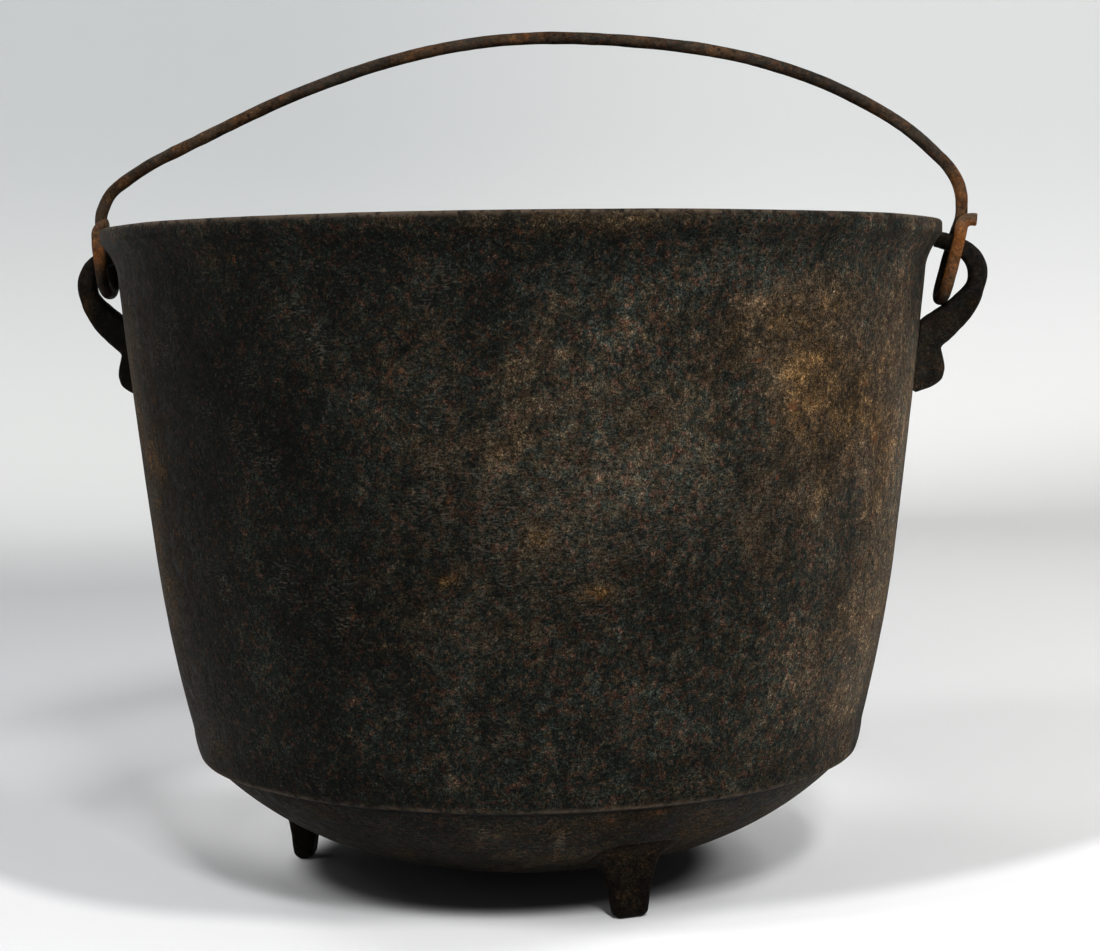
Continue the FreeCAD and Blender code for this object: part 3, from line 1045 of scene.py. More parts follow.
    def build(self, material: bpy.types.Material) -> bpy.types.Object:
        """Turns the section about the axis, with the slight unevenness of a sand casting.

        A point of the grid is (radius sin a, -radius cos a, height), a being the azimuth from the front. It
        is moved along the section's normal by two scales of unevenness.

        Args:
            material: the casting's finish.

        Returns:
            The shell.
        """
        line = self.section()
        ring = line[1:-1]
        angle = np.linspace(0.0, 2 * math.pi, self.columns, endpoint=False)
        radius = ring[:, :1]
        height = np.broadcast_to(ring[:, 1:], (len(ring), self.columns))
        points = np.stack([radius * np.sin(angle), -radius * np.cos(angle), height], -1)
        along = np.gradient(ring, axis=0)
        along /= np.linalg.norm(along, axis=1, keepdims=True)
        out = np.stack([-along[:, 1], along[:, 0]], 1)
        level = np.broadcast_to(out[:, 1:], height.shape)
        normal = np.stack([out[:, :1] * np.sin(angle), -out[:, :1] * np.cos(angle), level], -1)
        points = points + normal * unevenness(points, self.casting)[..., None]
        vertices, faces = closed_grid(points)
        faces = [face[::-1] for face in faces]
        piece = add_piece("cast_shell", vertices, faces, self.marks(vertices, int(np.argmax(ring[:, 1]))))
        dress(piece, material, POT_BODY, "pot_shell")
        return piece

    def marks(self, vertices: np.ndarray, top_row: int) -> dict[str, np.ndarray]:
        """Values that steer the finish over the shell.

        Args:
            vertices: the shell's points: the grid row by row, then the pole inside and the pole outside.
            top_row: the grid's row on the rim's top, where the inside ends.

        Returns:
            rust, wear, bright (the iron's own tone and painted light), darkening (painted shade under the
            belly and the step's painted shadow) and edge (wear, with a painted highlight along the rim and
            the step) for each point.
        """
        azimuth = np.degrees(np.arctan2(vertices[:, 0], -vertices[:, 1]))
        height = vertices[:, 2]
        radius = np.hypot(vertices[:, 0], vertices[:, 1])
        is_inside = np.arange(len(vertices)) < top_row * self.columns
        is_inside[-2] = True
        # The rim's top and the step's edge: partly wear, partly a painted highlight along them.
        rim = bell(height, self.rim_height, self.rim_rub_and_highlight_reach)
        step = np.exp(-((height - self.step_height) / self.step_rub_and_highlight_reach) ** 2
                      - ((radius - self.step_radius) / self.step_rub_and_highlight_width) ** 2)
        # Painted shadow just below the step, along the top of the belly.
        step_shadow = np.exp(-((radius - self.belly_radius - self.step_shadow_offset) / self.step_shadow_width) ** 2
                        - ((height - self.belly_height) / self.step_shadow_reach) ** 2)
        # Painted shade on the belly's underside, darker towards the bottom.
        darkening = self.under_shade_level * np.clip((self.belly_height - height) / self.under_shade_depth, 0.0, 1.0)
        rust, wear, bright = (patches_at(places, azimuth, height, self.mean_radius)
                              for places in (RUST_PATCHES, STROKE_PATCHES, TONE_AND_PAINTED_LIGHT_PATCHES))
        return {
            "rust": np.where(is_inside, self.inside_rust, rust),
            "wear": np.where(is_inside, 0.0, wear),
            "bright": np.where(is_inside, self.inside_bright, bright),
            "darkening": np.maximum(darkening, step_shadow) * ~is_inside,
            "edge": np.clip(self.rim_rub_and_highlight * rim + self.step_rub_and_highlight * step * ~is_inside, 0.0, 1.0),
        }


@dataclass
class LoopEar:
    """A loop ear: a bar from the rim round the eye and over a thick cheek to a tail on the wall.

    Its outer and inner lines lie in the radial plane, as radius and height. Each goes from the root over an
    arc about the ring's or the eye's middle to the tail; the arc's points are given in degrees.
    """

    side: Side
    node: str
    shell: PotShell
    ring_middle: Place = (0.1423, 0.1993)
    ring_radius: float = 0.0129
    ring_degrees: tuple[float, ...] = (76.0, 58.0, 40.0, 22.0, 8.0, -5.0)
    eye_middle: Place = (0.1416, 0.1998)
    eye_radius: float = 0.0072
    eye_degrees: tuple[float, ...] = (78.0, 56.0, 34.0, 12.0, -6.0, -22.0)
    root_outer: tuple[Place, ...] = ((0.1378, 0.2139), (0.1398, 0.2139), (0.1422, 0.2130))
    root_inner: tuple[Place, ...] = ((0.1376, 0.2086), (0.1396, 0.2083), (0.1414, 0.2075))
    tail_outer: tuple[Place, ...] = (
        (0.1532, 0.1912), (0.1495, 0.1850), (0.1448, 0.1802), (0.1396, 0.1757), (0.1402, 0.1740),
        (0.1414, 0.1684), (0.1405, 0.1648), (0.1370, 0.1624), (0.1312, 0.1609))
    tail_inner: tuple[Place, ...] = (
        (0.1467, 0.1951), (0.1445, 0.1930), (0.1402, 0.1896), (0.1364, 0.1868), (0.1325, 0.1845),
        (0.1313, 0.1790), (0.1302, 0.1710), (0.1295, 0.1655), (0.1292, 0.1622))
    width: float = 0.007
    edge: float = 0.0024
    spread: float = 0.0016
    spread_reach: float = 0.0022
    fine_gap: float = 0.00015
    passes: int = 260
    gap: float = 0.00062
    most_round: float = 0.9
    broad_length: float = 0.014
    broad_height: float = 0.00022
    broad_seed: int = 21
    fine_waves: Waves = Waves(0.004, 0.00006, 23)
    base_bright: float = -0.2
    tail_bright: float = 1.8
    tail_height: float = 0.190
    tail_fade: float = 0.014
    cheek_place: Place = (0.1525, 0.187)
    cheek_reach: Place = (0.004, 0.008)
    cheek_rust: float = 0.9
    ear_rust: float = 0.05
    ear_wear: float = -0.5
    ear_darkening: float = 0.25
    ear_rub: float = 0.15

    def line(self, root: tuple[Place, ...], middle: Place, radius: float, degrees: tuple[float, ...],
             tail: tuple[Place, ...]) -> np.ndarray:
        """Root, arc and tail in one; a point of the arc is middle plus radius times (cos, sin) of its angle.

        Args:
            root: points at the rim.
            middle: the arc's middle.
            radius: the arc's radius.
            degrees: angles of the arc's points.
            tail: points down to the wall.

        Returns:
            Points of shape (n, 2), as radius and height.
        """
        angle = np.radians(np.array(degrees))
        arc = np.array(middle) + radius * np.stack([np.cos(angle), np.sin(angle)], 1)
        return np.concatenate([np.array(root), arc, np.array(tail)])

    def build(self, material: bpy.types.Material) -> bpy.types.Object:
        """Carries a rounded rectangle between the two lines.

        At each station the section's first axis runs from the inner to the outer line, and its second is the
        pot's Y. Its half width grows near the wall by spread times a bell curve of the distance, as a fillet.

        Args:
            material: the ear's finish.

        Returns:
            The ear.
        """
        seed = self.broad_seed + int(self.side.value)
        waves = (Waves(self.broad_length, self.broad_height, seed), self.fine_waves)
        outer = self.line(self.root_outer, self.ring_middle, self.ring_radius, self.ring_degrees,
                          self.tail_outer)
        inner = self.line(self.root_inner, self.eye_middle, self.eye_radius, self.eye_degrees,
                          self.tail_inner)
        both = smooth_line(spaced(np.concatenate([outer, inner], 1), self.fine_gap), self.passes)
        both = spaced(both, self.gap)
        outer = both[:, :2]
        inner = both[:, 2:]
        middle = (outer + inner) / 2
        half = np.linalg.norm(outer - inner, axis=1)[:, None] / 2
        across = (outer - inner) / (2 * half)
        core, turn = rounded_section(across=7, flat_long=8, flat_short=8)
        corner = np.minimum(self.edge, half * self.most_round)
        first = core[None, :, 0] * (half - corner) + turn[None, :, 0] * corner
        second = core[None, :, 1] * (self.width / 2 - corner) + turn[None, :, 1] * corner
        radius = middle[:, None, 0] + across[:, None, 0] * first
        height = middle[:, None, 1] + across[:, None, 1] * first
        gap = np.maximum(radius - self.shell.wall_radius(height), 0.0)
        swell = 1 + self.spread / (self.width / 2) * bell(gap, 0.0, self.spread_reach)
        points = np.stack([radius, second * swell, height], -1)
        sideways = np.broadcast_to(turn[None, :, 1], radius.shape)
        normal = np.stack([across[:, None, 0] * turn[None, :, 0], sideways,
                           across[:, None, 1] * turn[None, :, 0]], -1)
        points = points + normal * unevenness(points, waves)[..., None]
        if self.side is Side.LEFT:
            points = (points * np.array([-1.0, 1.0, 1.0]))[:, ::-1]
        vertices, faces = closed_grid(points)
        height = vertices[:, 2]
        cheek = bell(height, self.cheek_place[1], self.cheek_reach[1])
        cheek = cheek * bell(np.abs(vertices[:, 0]), self.cheek_place[0], self.cheek_reach[0])
        tail = np.clip((self.tail_height - height) / self.tail_fade, 0.0, 1.0)
        # The whole ear darkened evenly.
        piece = add_piece(f"{self.node}_casting", vertices, faces, {
            "rust": self.cheek_rust * cheek + self.ear_rust, "wear": self.ear_wear,
            "bright": self.base_bright + self.tail_bright * tail, "darkening": self.ear_darkening,
            "edge": self.ear_rub})
        dress(piece, material, POT_BODY, self.node)
        return piece


@dataclass
class Foot:
    """A short tapered foot with a rounded tip that spreads into the belly."""

    node: str
    azimuth: float
    shell: PotShell
    circle_radius: float = 0.079
    tip_depth: float = 0.0058
    tip_width: float = 0.0112
    root_depth: float = 0.0102
    root_width: float = 0.0150
    root_height: float = 0.0168
    corner: float = 0.0024
    tip_round: float = 0.0021
    spread: float = 0.0026
    spread_reach: float = 0.0030
    fillet: float = 0.0030
    fillet_reach: float = 0.0009
    sink: float = 0.0015
    levels: int = 64
    crowding: float = 1.25
    most_taper: float = 1.3
    most_round: float = 0.95
    waves: tuple[Waves, ...] = (Waves(0.011, 0.00022, 31), Waves(0.0035, 0.00006, 32))
    outer_rust: float = 0.45
    rust_start: float = 0.001
    rust_fade: float = 0.006
    wear: float = -0.5
    tip_bright: float = -0.1
    root_bright: float = 2.3
    root_start: float = 0.011
    root_fade: float = 0.009
    darkening: float = 0.5
    tip_rub: float = 0.8
    rub_reach: float = 0.0016

    def build(self, material: bpy.types.Material) -> bpy.types.Object:
        """Stacks rounded rectangles from the tip up to the belly.

        The half sizes grow evenly from tip to root, shrink towards the tip's plane as its rounding does, and
        spread near the belly by two terms of the kind spread times exp(-gap / reach), the second one steeper,
        as a fillet. Every upright ends a little inside the belly.

        Args:
            material: the foot's finish.

        Returns:
            The foot.
        """
        core, turn = rounded_section(across=7, flat_long=5, flat_short=5)
        share = np.linspace(0.0, 1.0, self.levels)[:, None] ** self.crowding
        level = share * (float(self.shell.underside(np.array([self.circle_radius]))[0]) + self.sink)
        taper = np.clip(level / self.root_height, 0.0, self.most_taper)
        rounding = np.clip(1 - level / self.tip_round, 0.0, 1.0)
        inset = self.tip_round * (1 - np.sqrt(1 - rounding ** 2))
        depth = (self.tip_depth + (self.root_depth - self.tip_depth) * taper) / 2 - inset
        width = (self.tip_width + (self.root_width - self.tip_width) * taper) / 2 - inset
        corner = np.minimum(self.corner, np.minimum(depth, width) * self.most_round)
        radial = core[None, :, 0] * (depth - corner) + turn[None, :, 0] * corner
        around = core[None, :, 1] * (width - corner) + turn[None, :, 1] * corner
        ceiling = self.shell.underside(np.hypot(self.circle_radius + radial, around)) + self.sink
        gap = np.maximum(ceiling - self.sink - share * ceiling, 0.0)
        swell = self.spread * np.exp(-gap / self.spread_reach)
        swell = swell + self.fillet * np.exp(-gap / self.fillet_reach)
        radial = radial + turn[None, :, 0] * swell
        around = around + turn[None, :, 1] * swell
        height = share * (self.shell.underside(np.hypot(self.circle_radius + radial, around)) + self.sink)
        angle = math.radians(self.azimuth)
        out = np.array([math.sin(angle), -math.cos(angle)])
        beside = np.array([math.cos(angle), math.sin(angle)])
        place = self.circle_radius + radial
        points = np.stack([place * out[0] + around * beside[0],
                           place * out[1] + around * beside[1], height], -1)
        lift = unevenness(points, self.waves) * np.clip(height / self.tip_round, 0.0, 1.0)
        points[..., 0] += (turn[None, :, 0] * out[0] + turn[None, :, 1] * beside[0]) * lift
        points[..., 1] += (turn[None, :, 0] * out[1] + turn[None, :, 1] * beside[1]) * lift
        vertices, faces = closed_grid(points)
        past = np.hypot(vertices[:, 0], vertices[:, 1]) - self.circle_radius - self.rust_start
        root = np.clip((vertices[:, 2] - self.root_start) / self.root_fade, 0.0, 1.0)
        # The whole foot darkened evenly.
        piece = add_piece(f"{self.node}_casting", vertices, faces, {
            "rust": self.outer_rust * np.clip(past / self.rust_fade, 0.0, 1.0), "wear": self.wear,
            "bright": self.root_bright * root + self.tip_bright, "darkening": self.darkening,
            "edge": bell(vertices[:, 2], 0.0, self.rub_reach) * self.tip_rub})
        dress(piece, material, POT_BODY, self.node)
        return piece


# The bail

@dataclass
class BailWire:
    """The wire's gauge and its slight unevenness, shared by the bow and the hooks."""

    radius: float = 0.00205
    columns: int = 20
    step: float = 0.00055
    reach: float = 0.1465
    neck_height: float = 0.2213
    bends: tuple[Waves, ...] = (Waves(0.05, 0.00006, 41), Waves(0.05, 0.00006, 42), Waves(0.05, 0.00006, 43))
    gauge: tuple[Waves, ...] = (Waves(0.012, 0.00007, 44), Waves(0.0035, 0.00003, 45))
    tip_round: float = 0.0011
    tip_shrink: float = 0.45
    end_share: float = 0.05

    def mesh(self, path: np.ndarray, side: np.ndarray, has_tip: bool) -> tuple[np.ndarray, list[list[int]]]:
        """A tube along the path whose radius varies a little, closed at both ends.

        A station is added close to each end, so that the flat end stays sharp in the shading. Where the last
        end is a cut tip, the radius shrinks by tip_shrink times the cube of the way along its last bit.

        Args:
            path: evenly spaced stations.
            side: a direction for each station, never along the path.
            has_tip: whether the last end is a cut tip.

        Returns:
            Vertices and faces.
        """
        path = np.concatenate([path[:1], path[:1] + (path[1:2] - path[:1]) * self.end_share, path[1:-1],
                               path[-1:] + (path[-2:-1] - path[-1:]) * self.end_share, path[-1:]])
        side = np.concatenate([side[:1], side[:1], side[1:-1], side[-1:], side[-1:]])
        path = path + np.stack([waves.at(path) for waves in self.bends], 1)
        radii = np.full(len(path), self.radius)
        if has_tip:
            left = np.arange(len(path))[::-1] * self.step
            radii = radii * (1 - self.tip_shrink * np.clip(1 - left / self.tip_round, 0.0, 1.0) ** 3)
        grid = tube(path, side, radii, self.columns)
        grid = grid + (grid - path[:, None]) / self.radius * unevenness(grid, self.gauge)[..., None]
        return closed_grid(grid)


@dataclass
class BailBow:
    """The bow of the bail from neck to neck, through corners given as X and height."""

    wire: BailWire
    corners: tuple[Place, ...] = (
        (-0.1465, 0.22394), (-0.14313, 0.23148), (-0.13053, 0.24010), (-0.07794, 0.26388),
        (-0.03794, 0.27635), (0.0, 0.28136), (0.03794, 0.27911), (0.07193, 0.27403),
        (0.10196, 0.26388), (0.12833, 0.24909), (0.14284, 0.23481), (0.1465, 0.22771))
    bend: float = 0.9
    rust: float = 0.15
    rust_waves: Waves = Waves(0.03, 0.5, 51)
    end_rust: float = 0.35
    end_start: float = 0.9
    end_fade: float = 0.1
    bright: float = -0.1
    bright_waves: Waves = Waves(0.04, 0.2, 52)
    rub: float = 0.2

    def build(self, material: bpy.types.Material) -> bpy.types.Object:
        """Carries the wire along the rounded corners in the plane Y = 0.

        Args:
            material: the wire's finish.

        Returns:
            The bow.
        """
        reach = self.wire.reach
        neck = self.wire.neck_height
        route = np.array([(x, 0.0, z) for x, z in ((-reach, neck), *self.corners, (reach, neck))])
        path = eased_route(route, self.bend, self.wire.step)
        vertices, faces = self.wire.mesh(path, np.broadcast_to(np.array([0.0, 1.0, 0.0]), path.shape), False)
        end = np.clip((np.abs(vertices[:, 0]) / reach - self.end_start) / self.end_fade, 0.0, 1.0)
        piece = add_piece("wire_bow", vertices, faces, {
            "rust": self.rust + self.rust_waves.at(vertices) + self.end_rust * end, "wear": 0.0,
            "bright": self.bright + self.bright_waves.at(vertices), "darkening": 0.0, "edge": self.rub})
        dress(piece, material, BAIL_BODY, "bail_bow")
        return piece


@dataclass
class BailHook:
    """A bail end: down behind the ear, forward through the eye, up in front and bent over beside the leg.

    lean is how far the legs come in towards the pot on their way down, and splay how far the front leg stands
    out from the back one. The rust ends at rust_floor; below it, and on the legs behind the ear, the wire is
    darkened as painted shade in and behind the ear's eye.
    """

    wire: BailWire
    side: Side
    node: str
    lean: float
    low_height: float
    tip_height: float
    tip_length: float
    tip_climb: float
    rust: float
    rust_floor: float
    splay: float
    fork_height: float = 0.2186
    fork_foot_height: float = 0.2122
    offset: float = 0.00685
    tip_offset: float = 0.00435
    bend: float = 0.006
    turn_height: float = 0.004
    tip_start_share: float = 0.85
    front_fade: float = 0.004
    rust_fade: float = 0.012
    tip_rub_height: float = 0.2145
    tip_rub_fade: float = 0.003
    tip_clean: float = 0.6
    bright_share: float = 0.5
    darkening: float = 0.85
    eye_shade_height: float = 0.2160
    eye_shade_fade: float = 0.003
    rub: float = 0.2
    tip_rub: float = 0.3

    def corners(self) -> np.ndarray:
        """The corners that the hook bends round.

        Returns:
            Points from the neck to the tip, shape (n, 3).
        """
        sign = self.side.value
        reach = sign * self.wire.reach
        fork = self.fork_height - self.fork_foot_height
        fork_lean = self.lean * fork / (self.fork_height - self.low_height)
        foot_x = sign * (self.wire.reach - fork_lean)
        low_x = sign * (self.wire.reach - self.lean)
        return np.array([
            (reach, 0.0, self.wire.neck_height),
            (reach, 0.0, self.fork_height),
            (foot_x, self.offset, self.fork_foot_height),
            (low_x, self.offset, self.low_height),
            (low_x + sign * self.splay, -self.offset, self.low_height),
            (foot_x + sign * self.splay / 2, -self.offset, self.fork_foot_height),
            (reach, -self.tip_offset, self.tip_height),
            (reach + self.tip_length, -self.tip_offset, self.tip_height + self.tip_climb),
        ])

    def build(self, material: bpy.types.Material) -> bpy.types.Object:
        """Carries the wire along the hook's corners.

        The direction that steers the section turns from X to Y along the front leg, so that it is never along
        the wire, which runs along Y under the ear and along X at the tip.

        Args:
            material: the wire's finish.

        Returns:
            The hook.
        """
        path = eased_route(self.corners(), self.bend, self.wire.step)
        climb = np.clip((path[:, 2] - self.low_height - self.bend) / self.turn_height, 0.0, 1.0)
        turned = np.where(path[:, 1] < -self.offset / 2, climb * climb * (3 - 2 * climb), 0.0)
        is_tip = np.arange(len(path)) > len(path) * self.tip_start_share
        turned = np.where(is_tip, 1.0, turned) * math.pi / 2
        side = np.stack([np.cos(turned), np.sin(turned), np.zeros(len(path))], 1)
        vertices, faces = self.wire.mesh(path, side, True)
        height = vertices[:, 2]
        front = np.clip(-vertices[:, 1] / self.front_fade, 0.0, 1.0)
        rusty = front * (1 - np.clip((self.rust_floor - height) / self.rust_fade, 0.0, 1.0))
        tip = np.clip((height - self.tip_rub_height) / self.tip_rub_fade, 0.0, 1.0) * front
        # Painted shade in and behind the ear's eye: low on the hook, the wire is darker where it isn't rusty.
        below = np.clip((self.eye_shade_height - height) / self.eye_shade_fade, 0.0, 1.0)
        piece = add_piece(f"{self.side.name.lower()}_wire_hook", vertices, faces, {
            "rust": self.rust * rusty * (1 - self.tip_clean * tip), "wear": 0.0,
            "bright": self.bright_share * self.rust * rusty,
            "darkening": np.clip(self.darkening - self.darkening * rusty, 0.0, self.darkening) * below,
            "edge": np.clip(self.rub + self.tip_rub * tip, 0.0, 1.0)})
        dress(piece, material, BAIL_BODY, self.node)
        return piece


# The studio

@dataclass
class Camera:
    """The photograph's camera, found from the rim's and step's ellipses; angles in degrees."""

    distance: float = 0.7449
    height: float = 0.1906
    focal_pixels: float = 2189.1
    frame_pixels: float = 1100.0
    sensor: float = 36.0
    pitch: float = 4.41
    yaw: float = 0.65
    roll: float = -0.70
    azimuth: float = 7.0
    clip_start: float = 0.01

    def build(self) -> None:
        """Makes the camera and gives it to the scene."""
        pitch, yaw, roll, azimuth = (
            math.radians(angle) for angle in (self.pitch, self.yaw, self.roll, self.azimuth))
        forward = Vector((math.sin(yaw) * math.cos(pitch), math.cos(yaw) * math.cos(pitch), -math.sin(pitch)))
        level = Vector((math.cos(yaw), -math.sin(yaw), 0.0))
        upright = level.cross(forward)
        right = level * math.cos(roll) + upright * math.sin(roll)
        up = upright * math.cos(roll) - level * math.sin(roll)
        axes = Matrix((right, up, -forward)).transposed().to_4x4()
        place = Matrix.Translation(Vector((0.0, -self.distance, self.height)))
        data = bpy.data.cameras.new("photo_camera")
        data.sensor_fit = "HORIZONTAL"
        data.sensor_width = self.sensor
        data.lens = self.focal_pixels / self.frame_pixels * self.sensor
        data.clip_start = self.clip_start
        camera = bpy.data.objects.new("photo_camera", data)
        camera.matrix_world = Matrix.Rotation(azimuth, 4, "Z") @ place @ axes
        bpy.context.scene.collection.objects.link(camera)
        bpy.context.scene.camera = camera


@dataclass(frozen=True)
class SoftLamp:
    """A square white lamp that faces a point of the pot."""

    name: str
    place: Point
    target_height: float
    size: float
    watts: float

    def build(self) -> None:
        """Makes the lamp."""
        data = bpy.data.lights.new(self.name, "AREA")
        data.shape = "SQUARE"
        data.size = self.size
        data.energy = self.watts
        lamp = bpy.data.objects.new(self.name, data)
        aim = Vector((0.0, 0.0, self.target_height)) - Vector(self.place)
        lamp.rotation_euler = aim.to_track_quat("-Z", "Y").to_euler()
        lamp.location = self.place
        bpy.context.scene.collection.objects.link(lamp)


@dataclass(frozen=True)
class Pool:
    """A round pool of another tone on the table, lighter pools as painted light and darker ones as painted
    shadow: none at its reach from the middle, full inside its core.
    """

    middle: Point
    reach: float
    core: float
    tone: Colour


@dataclass(frozen=True)
class PaleTable:
    """The table's colour for the camera, after the photograph's tones; all other rays meet an even grey.

    X runs to the right and Y away from the camera, in metres from the pot's axis. Each pair of colours is for
    the left and the right of the picture, the left painted darker as shade. In front the paper is painted
    white where light falls, beside and behind the pot light grey as painted shade.
    Far back, where the table curves up, it glows a little, so that its tone there doesn't hang on the lamps.
    """

    turn: float = 6.35
    plain: Colour = (0.7, 0.7, 0.7)
    width: Span = (-0.35, 0.35)
    front: tuple[Colour, Colour] = ((0.78, 0.78, 0.79), (0.92, 0.92, 0.92))
    front_span: Span = (-0.064, -0.088)
    right_bend: float = 2.3
    right_bend_most: float = 0.12
    left_start: float = -0.11
    left_bend: float = 6.0
    left_slope_start: float = -0.06
    left_slope: float = 0.25
    left_bend_most: float = 0.10
    near_ground: tuple[Colour, Colour] = ((0.51, 0.515, 0.53), (0.65, 0.65, 0.645))
    far_ground: tuple[Colour, Colour] = ((0.48, 0.485, 0.495), (0.72, 0.72, 0.715))
    far_span: Span = (0.1, 0.9)
    # Pools of painted light that lift the lamps' shadows beside and behind the pot on the left.
    left_light_pools: tuple[Pool, ...] = (
        Pool((-0.125, 0.22, 0.0), 0.14, 0.05, (0.64, 0.645, 0.66)),
        Pool((0.0, 0.10, 0.0), 0.17, 0.08, (0.66, 0.665, 0.68)),
        Pool((-0.045, 0.10, 0.0), 0.13, 0.08, (0.93, 0.935, 0.95)))
    # Pools of painted light that lift the shadow beside the pot on the right.
    right_light_pools: tuple[Pool, ...] = (
        Pool((0.0, 0.10, 0.0), 0.17, 0.08, (0.76, 0.76, 0.755)),
        Pool((0.0, 0.05, 0.0), 0.115, 0.095, (1.0, 1.0, 1.0)))
    # A painted contact shadow right under the pot.
    under: Pool = Pool((-0.008, 0.004, 0.0), 0.078, 0.062, (0.08, 0.08, 0.08))
    back_start: float = 0.75
    back_start_slope: float = 0.40
    back_depth: float = 0.52
    back_depth_slope: float = 0.27
    foot: tuple[Colour, Colour] = ((0.80, 0.81, 0.80), (0.95, 0.95, 0.94))
    top: tuple[Colour, Colour] = ((0.60, 0.62, 0.625), (0.76, 0.775, 0.77))
    rise_span: Span = (0.02, 0.42)
    glow: float = 0.7

    def pooled(self, tree: Tree, place: Socket, ground: Socket, pools: tuple[Pool, ...]) -> Socket:
        """The ground's colour with the pools laid on it, one after the other.

        Args:
            tree: the material's tree.
            place: the place on the table.
            ground: the colour under the pools.
            pools: the pools.

        Returns:
            The colour.
        """
        for pool in pools:
            share = tree.remap(tree.distance(place, pool.middle), (pool.reach, pool.core))
            ground = tree.blend(share, ground, pool.tone)
        return ground

    def front_bend(self, tree: Tree, x: Socket) -> Socket:
        """How much farther back the front's white reaches at each X.

        On the right it is a square of X, on the left a square and a slope, each held at its most.

        Args:
            tree: the material's tree.
            x: the place's X.

        Returns:
            The distance along Y.
        """
        right = tree.math("POWER", tree.math("MAXIMUM", x, 0.0), 2.0)
        right = tree.math("MINIMUM", tree.times(right, self.right_bend), self.right_bend_most)
        left = tree.math("POWER", tree.math("MAXIMUM", tree.less(self.left_start, x), 0.0), 2.0)
        slope = tree.math("MAXIMUM", tree.less(self.left_slope_start, x), 0.0)
        left = tree.plus(tree.times(left, self.left_bend), tree.times(slope, self.left_slope))
        return tree.plus(right, tree.math("MINIMUM", left, self.left_bend_most))

    def build(self) -> bpy.types.Material:
        """The paper's material.

        Returns:
            The material.
        """
        material, tree = new_material("pale_paper")
        place = tree.node("ShaderNodeTexCoord").outputs["Object"]
        place = tree.node("ShaderNodeVectorRotate", {"Vector": place, "Angle": math.radians(-self.turn)},
                          rotation_type="Z_AXIS").outputs[0]
        axes = tree.node("ShaderNodeSeparateXYZ", {"Vector": place}).outputs
        right = tree.remap(axes["X"], self.width)
        far = tree.remap(axes["Y"], self.far_span)
        # Ground tones with the pools of painted light on each side.
        both_light_pools = (self.left_light_pools, self.right_light_pools)
        left_ground, right_ground = (
            self.pooled(tree, place, tree.blend(far, near, away), pools)
            for near, away, pools in zip(self.near_ground, self.far_ground, both_light_pools))
        # The white front strip: painted light where light falls on the paper.
        in_front = tree.remap(tree.less(axes["Y"], self.front_bend(tree, axes["X"])), self.front_span)
        ground = tree.blend(right, left_ground, right_ground)
        ground = tree.blend(in_front, ground, tree.blend(right, *self.front))
        # The painted contact shadow under the pot.
        ground = self.pooled(tree, place, ground, (self.under,))
        start = tree.plus(tree.times(right, self.back_start_slope), self.back_start)
        depth = tree.less(self.back_depth, tree.times(right, self.back_depth_slope))
        past = tree.math("DIVIDE", tree.less(axes["Y"], start), depth)
        behind = tree.math("SMOOTH_MIN", tree.math("MAXIMUM", past, 0.0), 1.0)
        # The curved-up back, painted darker towards the top as shade.
        wall = tree.blend(tree.remap(axes["Z"], self.rise_span), tree.blend(right, *self.foot),
                          tree.blend(right, *self.top))
        seen = tree.blend(behind, ground, wall)
        camera_ray = tree.node("ShaderNodeLightPath").outputs["Is Camera Ray"]
        surface = tree.node("ShaderNodeBsdfDiffuse", {"Color": tree.blend(camera_ray, self.plain, seen)})
        glow = tree.node("ShaderNodeEmission", {"Color": seen, "Strength": 1.0})
        share = tree.times(camera_ray, tree.times(behind, self.glow))
        mixed = tree.node("ShaderNodeMixShader", {0: share, 1: surface.outputs[0], 2: glow.outputs[0]})
        tree.node("ShaderNodeOutputMaterial", {"Surface": mixed.outputs[0]})
        return material


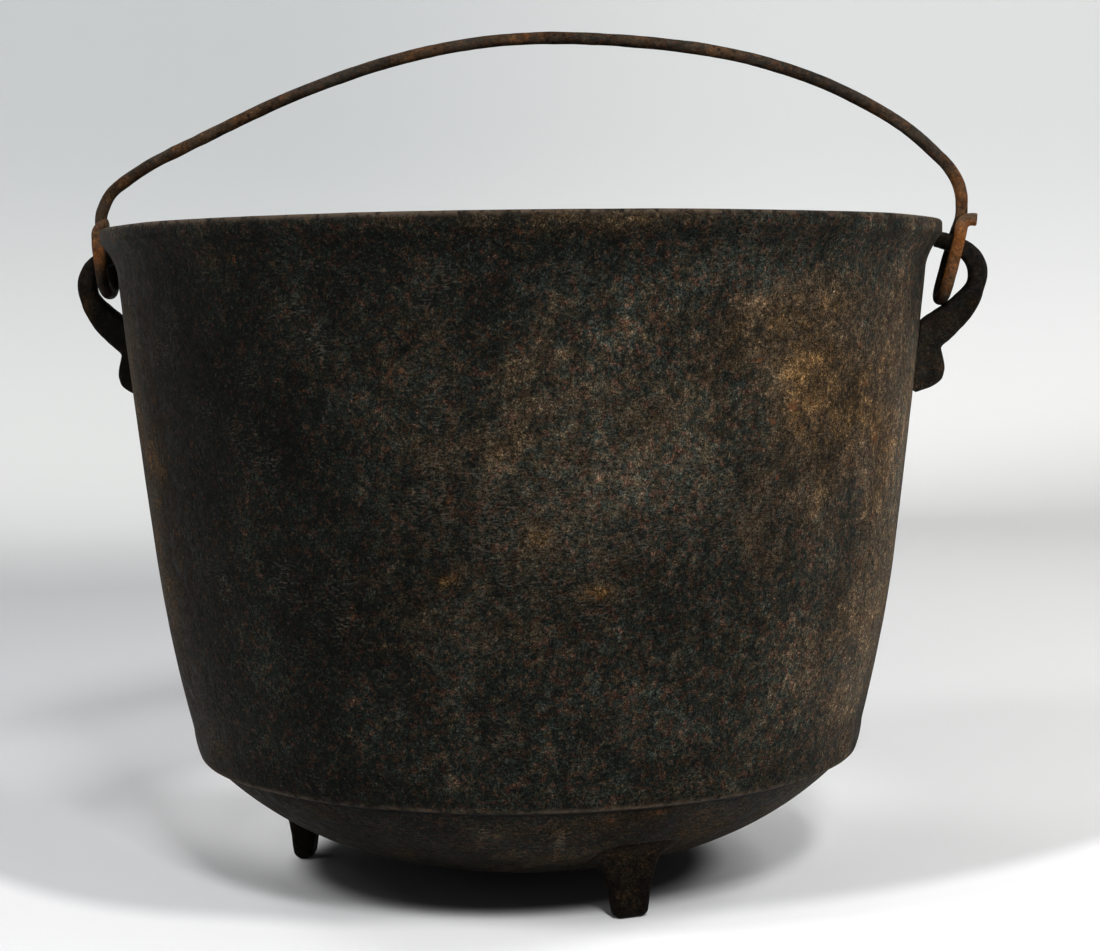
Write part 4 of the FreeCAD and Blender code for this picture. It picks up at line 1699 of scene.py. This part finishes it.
@dataclass
class Studio:
    """A pale table that curves up all round, soft lamps and a pale sky."""

    flat_radii: tuple[float, ...] = (0.05, 0.3, 0.6, 0.9)
    flat_radius: float = 1.15
    curve_radius: float = 0.75
    wall_top: float = 1.5
    columns: int = 96
    rows: int = 40
    sky: float = 0.04
    lamps: tuple[SoftLamp, ...] = (
        SoftLamp("window", (0.46, -1.27, 1.22), 0.08, 0.3, 26.0),
        SoftLamp("front_left", (-1.15, -0.85, 1.3), 0.08, 0.4, 10.0),
        SoftLamp("ceiling", (0.1, 0.45, 1.6), 0.1, 1.2, 2.0),
        SoftLamp("back_right", (1.2, 0.2, 1.2), 0.1, 0.6, 11.0),
        SoftLamp("back_left", (-1.1, 0.6, 1.25), 0.1, 0.7, 7.0),
    )

    def build(self) -> None:
        """Makes the table, the lamps and the sky."""
        self.table()
        for lamp in self.lamps:
            lamp.build()
        world = bpy.data.worlds.new("pale_sky")
        bpy.context.scene.world = world
        world.use_nodes = True
        background = world.node_tree.nodes["Background"]
        background.inputs["Color"].default_value = (1.0, 1.0, 1.0, 1.0)
        background.inputs["Strength"].default_value = self.sky

    def table(self) -> None:
        """A surface of revolution: flat to flat_radius, then a quarter circle, then upright."""
        bend = np.linspace(0.0, math.pi / 2, self.rows)
        radius = np.concatenate([self.flat_radii, self.flat_radius + self.curve_radius * np.sin(bend),
                                 [self.flat_radius + self.curve_radius]])
        height = np.concatenate([np.zeros(len(self.flat_radii)), self.curve_radius * (1 - np.cos(bend)),
                                 [self.wall_top]])
        angle = np.linspace(0.0, 2 * math.pi, self.columns, endpoint=False)
        points = np.stack([radius[:, None] * np.cos(angle), radius[:, None] * np.sin(angle),
                           np.broadcast_to(height[:, None], (len(radius), self.columns))], -1)
        vertices, faces = closed_grid(points, False)
        table = add_piece("pale_table", vertices, faces, {})
        table.data.materials.append(PaleTable().build())


def main() -> None:
    """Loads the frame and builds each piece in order."""
    logging.basicConfig(level=logging.INFO, format="%(name)s: %(message)s")
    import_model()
    bpy.context.scene.view_settings.view_transform = "Standard"
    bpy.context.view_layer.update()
    effects = SharedEffects()
    pot_iron, ear_iron, foot_iron, wire_iron = (
        finish.build(effects) for finish in (POT_IRON, EAR_IRON, FOOT_IRON, WIRE_IRON))
    shell = PotShell()
    shell.build(pot_iron)
    LoopEar(Side.LEFT, "left_ear", shell, base_bright=-1.9, tail_bright=0.6).build(ear_iron)
    LoopEar(Side.RIGHT, "right_ear", shell).build(ear_iron)
    for node, azimuth in (("left_foot", -90.0), ("front_foot", 30.0), ("back_foot", 150.0)):
        Foot(node, azimuth, shell).build(foot_iron)
    wire = BailWire()
    BailBow(wire).build(wire_iron)
    BailHook(wire, Side.LEFT, "left_bail_hook", lean=0.0022, low_height=0.19703, tip_height=0.2201,
             tip_length=0.0038, tip_climb=0.0005, rust=1.15, rust_floor=0.2120,
             splay=-0.0004).build(wire_iron)
    BailHook(wire, Side.RIGHT, "right_bail_hook", lean=0.0076, low_height=0.19162, tip_height=0.2179,
             tip_length=0.0046, tip_climb=-0.0004, rust=1.1, rust_floor=0.2010,
             splay=0.0014).build(wire_iron)
    Studio().build()
    Camera().build()


if __name__ == "__main__":
    main()
